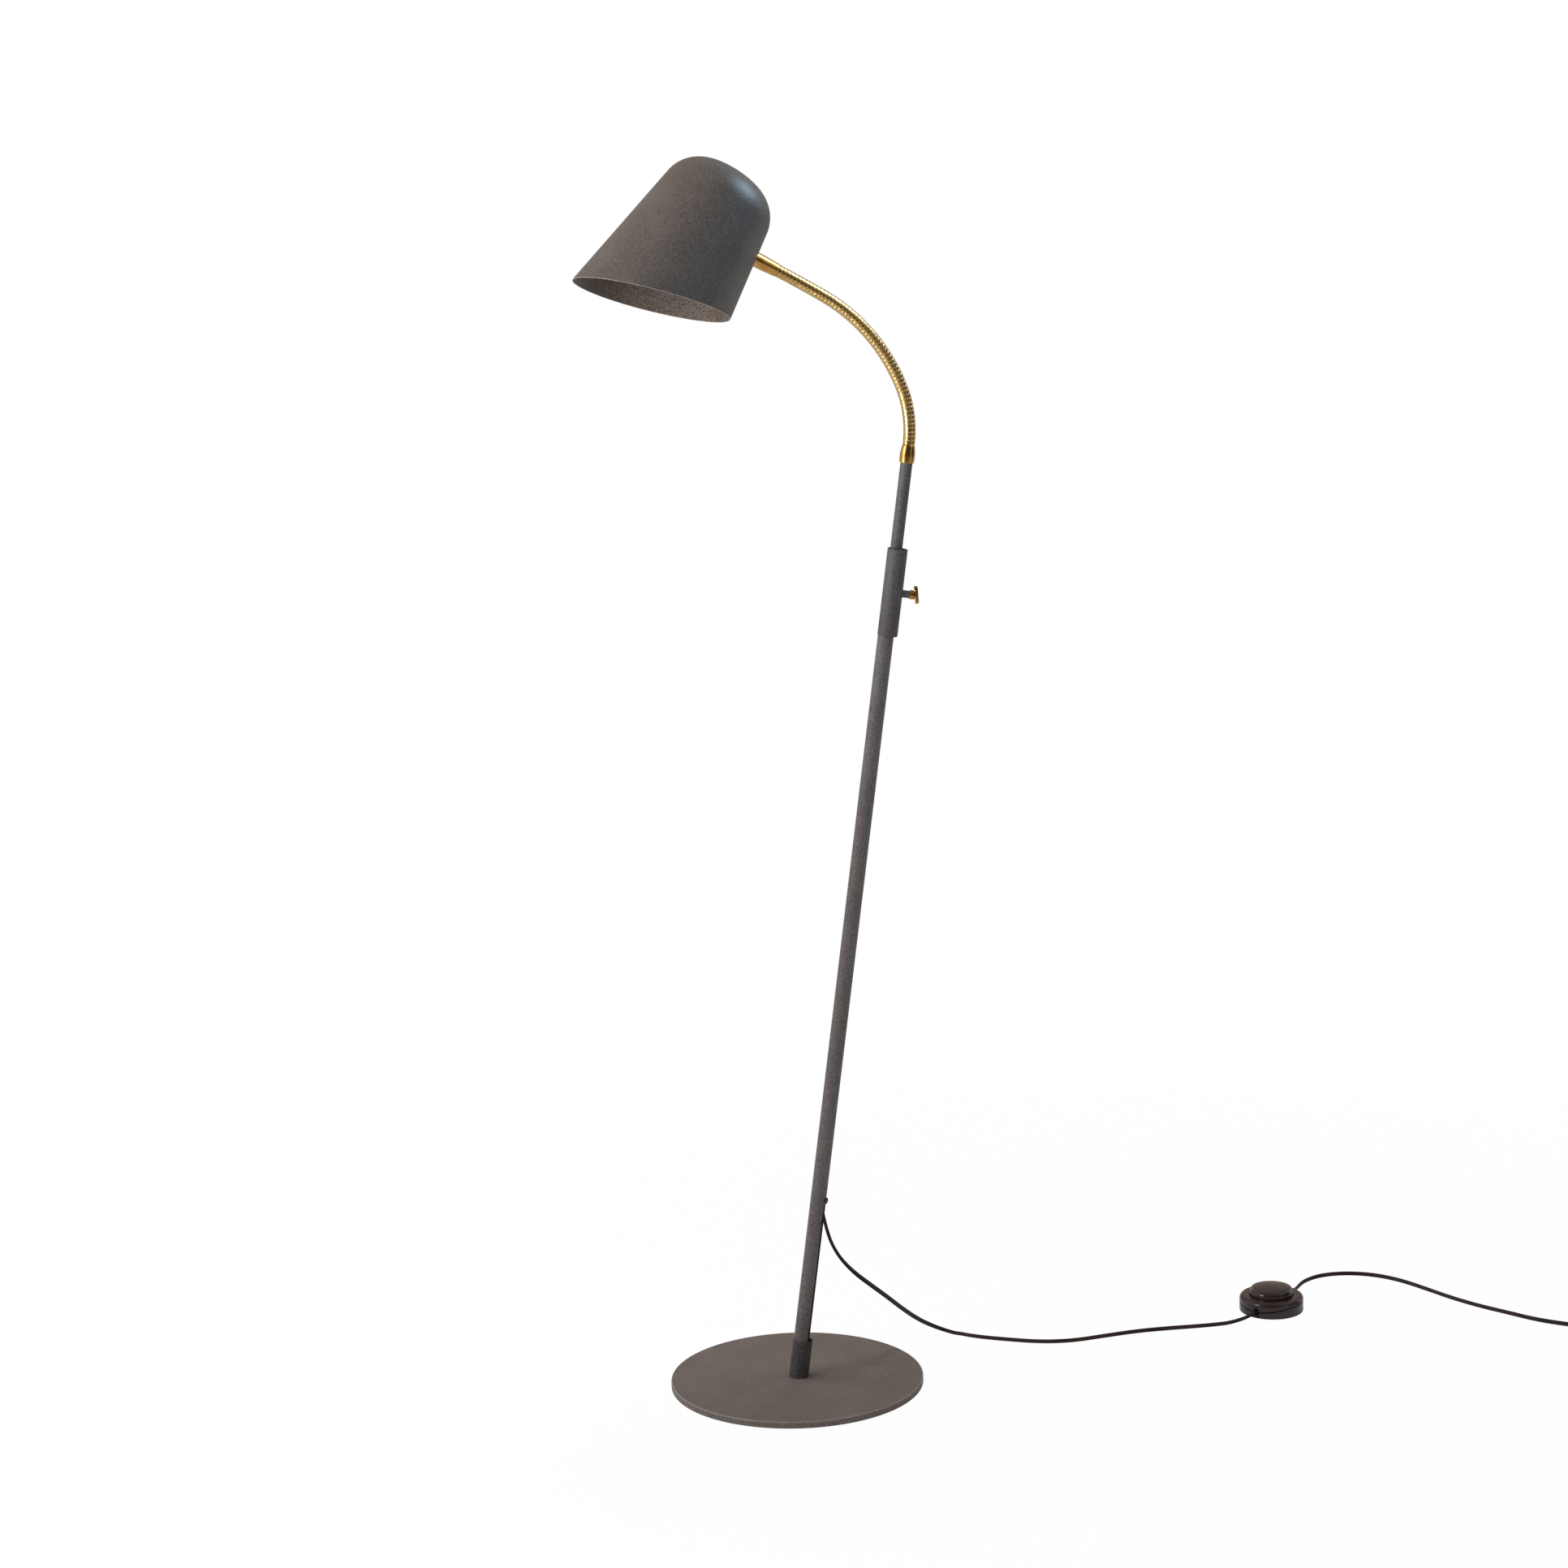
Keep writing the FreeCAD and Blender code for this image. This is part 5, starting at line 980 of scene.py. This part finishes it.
def seamHeights(angle, side):
    # the seam is an arc across the switch, low along the cord; it goes round each cord hole
    y = switch["radius"] * np.sin(angle)
    wide, rise = switch["radius"] + 2, switch["seamHigh"] - switch["seamLow"]
    bend = (wide ** 2 + rise ** 2) / (2 * rise)
    seam = switch["seamLow"] + bend - np.sqrt(bend ** 2 - y ** 2) + side * switch["seamGap"] / 2
    hole = switch["holeHigh"] + side * np.sqrt(np.clip(switch["hole"] ** 2 - y ** 2, 0, None))
    inHole = np.abs(y) < switch["hole"]
    return np.where(inHole, np.maximum(seam, hole) if side > 0 else np.minimum(seam, hole), seam)


def switchBaseMesh():
    # floor, soft lower edge, wall up to the seam, inner wall and inner floor
    angle = switchAngles()
    seam = seamHeights(angle, -1)
    r, low, wall = switch["radius"], switch["low"], switch["wall"]
    rows = [(0, low), (r - 1.3, low)]
    rows += [(r - 1.1 + 1.1 * math.sin(step), low + 1.1 - 1.1 * math.cos(step))
             for step in np.linspace(0, math.pi / 2, 7)]
    rows += [(r, low + 1.3 + (seam - 0.35 - low - 1.3) * share) for share in (0.0, 0.5, 1.0)]
    rows += [(r - 0.1, seam - 0.1), (r - 0.35, seam), (r - wall, seam), (r - wall, low + wall), (0, low + wall)]
    return gridMesh("switchBase", fromPlace(switchPlace, rowsGrid(rows, angle)))


def switchCoverMesh():
    # wall up from the seam, a wide rounded shoulder, a slightly sunk lip round the button's hole, and back inside
    angle = switchAngles()
    seam = seamHeights(angle, 1)
    r, top, edge, wall, hole = (switch[key] for key in ("radius", "top", "edge", "wall", "buttonHole"))
    start = top - edge
    rows = [(r - 0.35, seam), (r - 0.1, seam + 0.1), (r, seam + 0.35), (r, np.minimum(seam + 0.5, start - 0.05)),
            (r, np.maximum(seam + 0.45, start - 0.02))]
    rows += [(r - edge + edge * math.cos(step), np.maximum(start + edge * math.sin(step), seam + 0.4))
             for step in np.linspace(0, math.pi / 2, 14)[1:]]
    rows += [(r - edge - 0.6, top), (hole + 1.5, top), (hole + 0.5, top - 0.05), (hole + 0.12, top - 0.22),
             (hole, top - 0.6), (hole, top - wall), (r - edge, top - wall),
             (r - wall - 0.7, np.maximum(start + 0.5, seam + 0.3)),
             (r - wall, np.maximum(start - 1.0, seam + 0.05)), (r - wall, seam)]
    return gridMesh("switchCover", fromPlace(switchPlace, rowsGrid(rows, angle)), along=True)


def switchButtonMesh():
    # a shallow crown, a wide rounded edge, the wall, its flange and the hollow underneath
    button, top = switch["button"], switch["buttonTop"]
    crown = np.linspace(0, 1, 12)
    dome = np.stack([15.5 * crown, top - 1.0 * crown ** 2], axis=-1)
    shoulder = softSection([
        (15.5, top - 1.0), (button, top - 2.0, 6.2), (button, 16.3, 0.1), (24.5, 16.3, 0.1), (24.5, 14.5, 0.1),
        (21.3, 14.5), (21.3, 25.8), (4.6, 25.8), (4.6, 16.4), (0, 16.4)], 10)
    section = np.vstack([dome, shoulder[1:]])
    return gridMesh("switchButton", fromPlace(switchPlace, turnedGrid(section, 128)))


def switchSpringMesh():
    # a round wire wound as a screw line, its two end turns lying flat
    turns = np.linspace(0, spring["turns"], spring["turns"] * 30 + 1)
    share = np.clip((turns - 0.8) / (spring["turns"] - 1.6), 0, 1)
    height = spring["low"] + spring["wire"] + (spring["top"] - spring["low"] - 2 * spring["wire"]) * share
    angle = 2 * math.pi * turns
    around = np.linspace(0, 2 * math.pi, 10, endpoint=False)
    radius = spring["radius"] + spring["wire"] * np.cos(around)
    grid = ringPoints(radius, angle[:, None], height[:, None] + spring["wire"] * np.sin(around))
    return gridMesh("switchSpring", fromPlace(switchPlace, grid), caps=True, sharp=60)


switchBase = addPiece("switchBase", switchBaseMesh(), ["switchGloss"], "stand", ["switch_base"])
switchCover = addPiece("switchCover", switchCoverMesh(), ["switchGloss"], "stand", ["switch_cover"])
addPiece("switchButton", switchButtonMesh(), ["switchGloss"], "foot_button", ["switch_button"])
switchSpring = addPiece("switchSpring", switchSpringMesh(), ["zinc"], "stand", ["switch_spring"])
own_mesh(switchSpring)
print("foot switch made")

# finishes on the frame's own parts
keptFinishes = {
    "base_felt": "felt", "base_bolt": "zinc", "base_washer": "zinc", "pole_slug": "zinc", "inner_lead": "cordVinyl",
    "clamp_pad": "plainPlastic", "glide_bush": "plainPlastic", "tube_clips": "zinc", "neck_nipple": "brass",
    "head_nipple": "zinc", "head_locknut": "zinc", "holder_bracket": "zinc", "lampholder_shell": "brass",
    "lampholder_contact": "brass", "switch_feet": "rubber", "switch_screws": "zinc", "switch_block": "plainPlastic"}
for name, item in nodes.items():
    item.data.materials.clear()
    item.data.materials.append(finishes[keptFinishes.get(name, "poleCoatPaintedLight")])
print("frame parts finished:", len(keptFinishes))

studio = {"floorMiddle": (250.0, 0.0), "floorRadius": 1900.0, "floorDrop": 0.02, "white": 0.9, "lift": 0.96,
          "fade": (0.5, 1.5), "sky": 0.4}


def floorFinish():
    # camera rays see mostly plain white, with a little of the lit floor so that soft shadows stay;
    # the share of plain white grows to all of it towards the rim, and from below the floor isn't seen
    finish = bpy.data.materials.new("studioFloor")
    finish.use_nodes = True
    tree = finish.node_tree
    tree.nodes.clear()
    output = tree.nodes.new("ShaderNodeOutputMaterial")
    lit = tree.nodes.new("ShaderNodeBsdfDiffuse")
    lit.inputs["Color"].default_value = (studio["white"],) * 3 + (1,)
    plain = tree.nodes.new("ShaderNodeEmission")
    clear = tree.nodes.new("ShaderNodeBsdfTransparent")
    where = tree.nodes.new("ShaderNodeTexCoord")
    centred = tree.nodes.new("ShaderNodeMapping")
    centred.inputs["Location"].default_value = (-studio["floorMiddle"][0] * millimetre, 0, 0)
    tree.links.new(where.outputs["Object"], centred.inputs["Vector"])
    far = tree.nodes.new("ShaderNodeVectorMath")
    far.operation = "LENGTH"
    tree.links.new(centred.outputs["Vector"], far.inputs[0])
    fade = ranged(tree, far.outputs["Value"], *studio["fade"], studio["lift"], 1.0)
    rays = tree.nodes.new("ShaderNodeLightPath")
    share = added(tree, fade, rays.outputs["Is Camera Ray"], "MULTIPLY")
    both = tree.nodes.new("ShaderNodeMixShader")
    tree.links.new(share, both.inputs[0])
    tree.links.new(lit.outputs[0], both.inputs[1])
    tree.links.new(plain.outputs[0], both.inputs[2])
    sided = tree.nodes.new("ShaderNodeMixShader")
    tree.links.new(tree.nodes.new("ShaderNodeNewGeometry").outputs["Backfacing"], sided.inputs[0])
    tree.links.new(both.outputs[0], sided.inputs[1])
    tree.links.new(clear.outputs[0], sided.inputs[2])
    tree.links.new(sided.outputs[0], output.inputs["Surface"])
    return finish


def addFloor():
    # a flat disc: rings of growing radius round the middle
    section = np.stack([np.linspace(0, studio["floorRadius"], 12), np.full(12, -studio["floorDrop"])], axis=-1)
    grid = turnedGrid(section, 96)
    grid[..., 0] += studio["floorMiddle"][0]
    mesh = gridMesh("studioFloor", grid)
    if mesh.polygons[0].normal.z < 0:
        mesh.flip_normals()
    floor = bpy.data.objects.new("studioFloor", mesh)
    mesh.materials.append(floorFinish())
    scene.collection.objects.link(floor)


def addCard(name, middle, facing, size, shade):
    # a flat card, given in metres, that only polished surfaces see
    across = unit(np.cross((0, 0, 1), facing))
    upright = np.cross(unit(facing), across)
    u, v = np.meshgrid([-0.5, 0.5], [-0.5, 0.5])
    grid = np.asarray(middle) + u[..., None] * across * size[0] + v[..., None] * upright * size[1]
    card = bpy.data.objects.new(name, gridMesh(name, grid * 1000, around=False))
    finish = bpy.data.materials.new(name)
    finish.use_nodes = True
    finish.node_tree.nodes.clear()
    glow = finish.node_tree.nodes.new("ShaderNodeEmission")
    glow.inputs["Color"].default_value = (*shade, 1)
    output = finish.node_tree.nodes.new("ShaderNodeOutputMaterial")
    finish.node_tree.links.new(glow.outputs[0], output.inputs["Surface"])
    card.data.materials.append(finish)
    card.visible_camera = card.visible_diffuse = card.visible_shadow = card.visible_transmission = False
    scene.collection.objects.link(card)


def addLamp(name, place, target, size, power, tint, spread=180, shine=True):
    # a rectangular lamp whose z axis points from its target back to it
    data = bpy.data.lights.new(name, "AREA")
    data.shape = "RECTANGLE"
    data.size, data.size_y = size
    data.energy = power
    data.color = tint
    data.spread = math.radians(spread)
    item = bpy.data.objects.new(name, data)
    item.visible_glossy = shine
    origin, axes = placeAt(place, np.subtract(place, target), (1, 0, 0.001))
    matrix = np.eye(4)
    matrix[:3, :3], matrix[:3, 3] = axes.T, origin
    item.matrix_world = Matrix(matrix.tolist())
    scene.collection.objects.link(item)


def addWorld():
    # white where the camera, gloss or glass sees it, a soft even glow for everything else
    world = bpy.data.worlds.new("studioSky")
    scene.world = world
    world.use_nodes = True
    tree = world.node_tree
    tree.nodes.clear()
    rays = tree.nodes.new("ShaderNodeLightPath")
    seen = added(tree, added(tree, rays.outputs["Is Camera Ray"], rays.outputs["Is Glossy Ray"], "MAXIMUM"),
                 rays.outputs["Is Transmission Ray"], "MAXIMUM")
    back = tree.nodes.new("ShaderNodeBackground")
    back.inputs["Color"].default_value = (1, 1, 1, 1)
    tree.links.new(ranged(tree, seen, 0, 1, studio["sky"], 1.0), back.inputs["Strength"])
    output = tree.nodes.new("ShaderNodeOutputWorld")
    tree.links.new(back.outputs[0], output.inputs["Surface"])


addFloor()
addWorld()
addLamp("keyLeft", (-2.6, -1.3, 1.9), (0, 0, 0.8), (1.2, 1.5), 44, (1.0, 0.985, 0.97))
addLamp("overhead", (-0.15, 0.15, 3.0), (0, 0, 0.5), (0.6, 0.5), 36, (1.0, 0.99, 0.98), shine=False)
addLamp("coolRight", (0.76, 0.06, 1.74), (-0.05, -0.05, 1.14), (0.5, 0.5), 1.8, (0.5, 0.76, 1.0), 60)
addLamp("lowLeft", (-1.9, -1.2, 0.5), (-0.08, -0.03, 1.17), (0.5, 0.5), 2.2, (0.82, 0.92, 1.0), 20)
addCard("frontFlag", (0.0, -3.1, 1.5), (0, 1, 0), (4.6, 2.4), (0.08, 0.06, 0.03))
addCard("frontWash", (0.0, -3.2, 2.7), (0, 1, 0), (8.0, 5.8), (0.16, 0.14, 0.11))
addCard("ceilingWash", (0.0, -0.4, 3.8), (0, 0.01, -1), (6.0, 5.0), (0.42, 0.37, 0.3))
addCard("backWash", (0.0, 2.7, 1.9), (0, -1, 0), (7.0, 4.4), (0.42, 0.37, 0.3))
addCard("rightFlag", (3.4, -0.4, 1.2), (-1, 0, 0), (3.2, 2.6), (0.05, 0.045, 0.04))
scene.view_settings.view_transform = "Standard"
print("studio set")
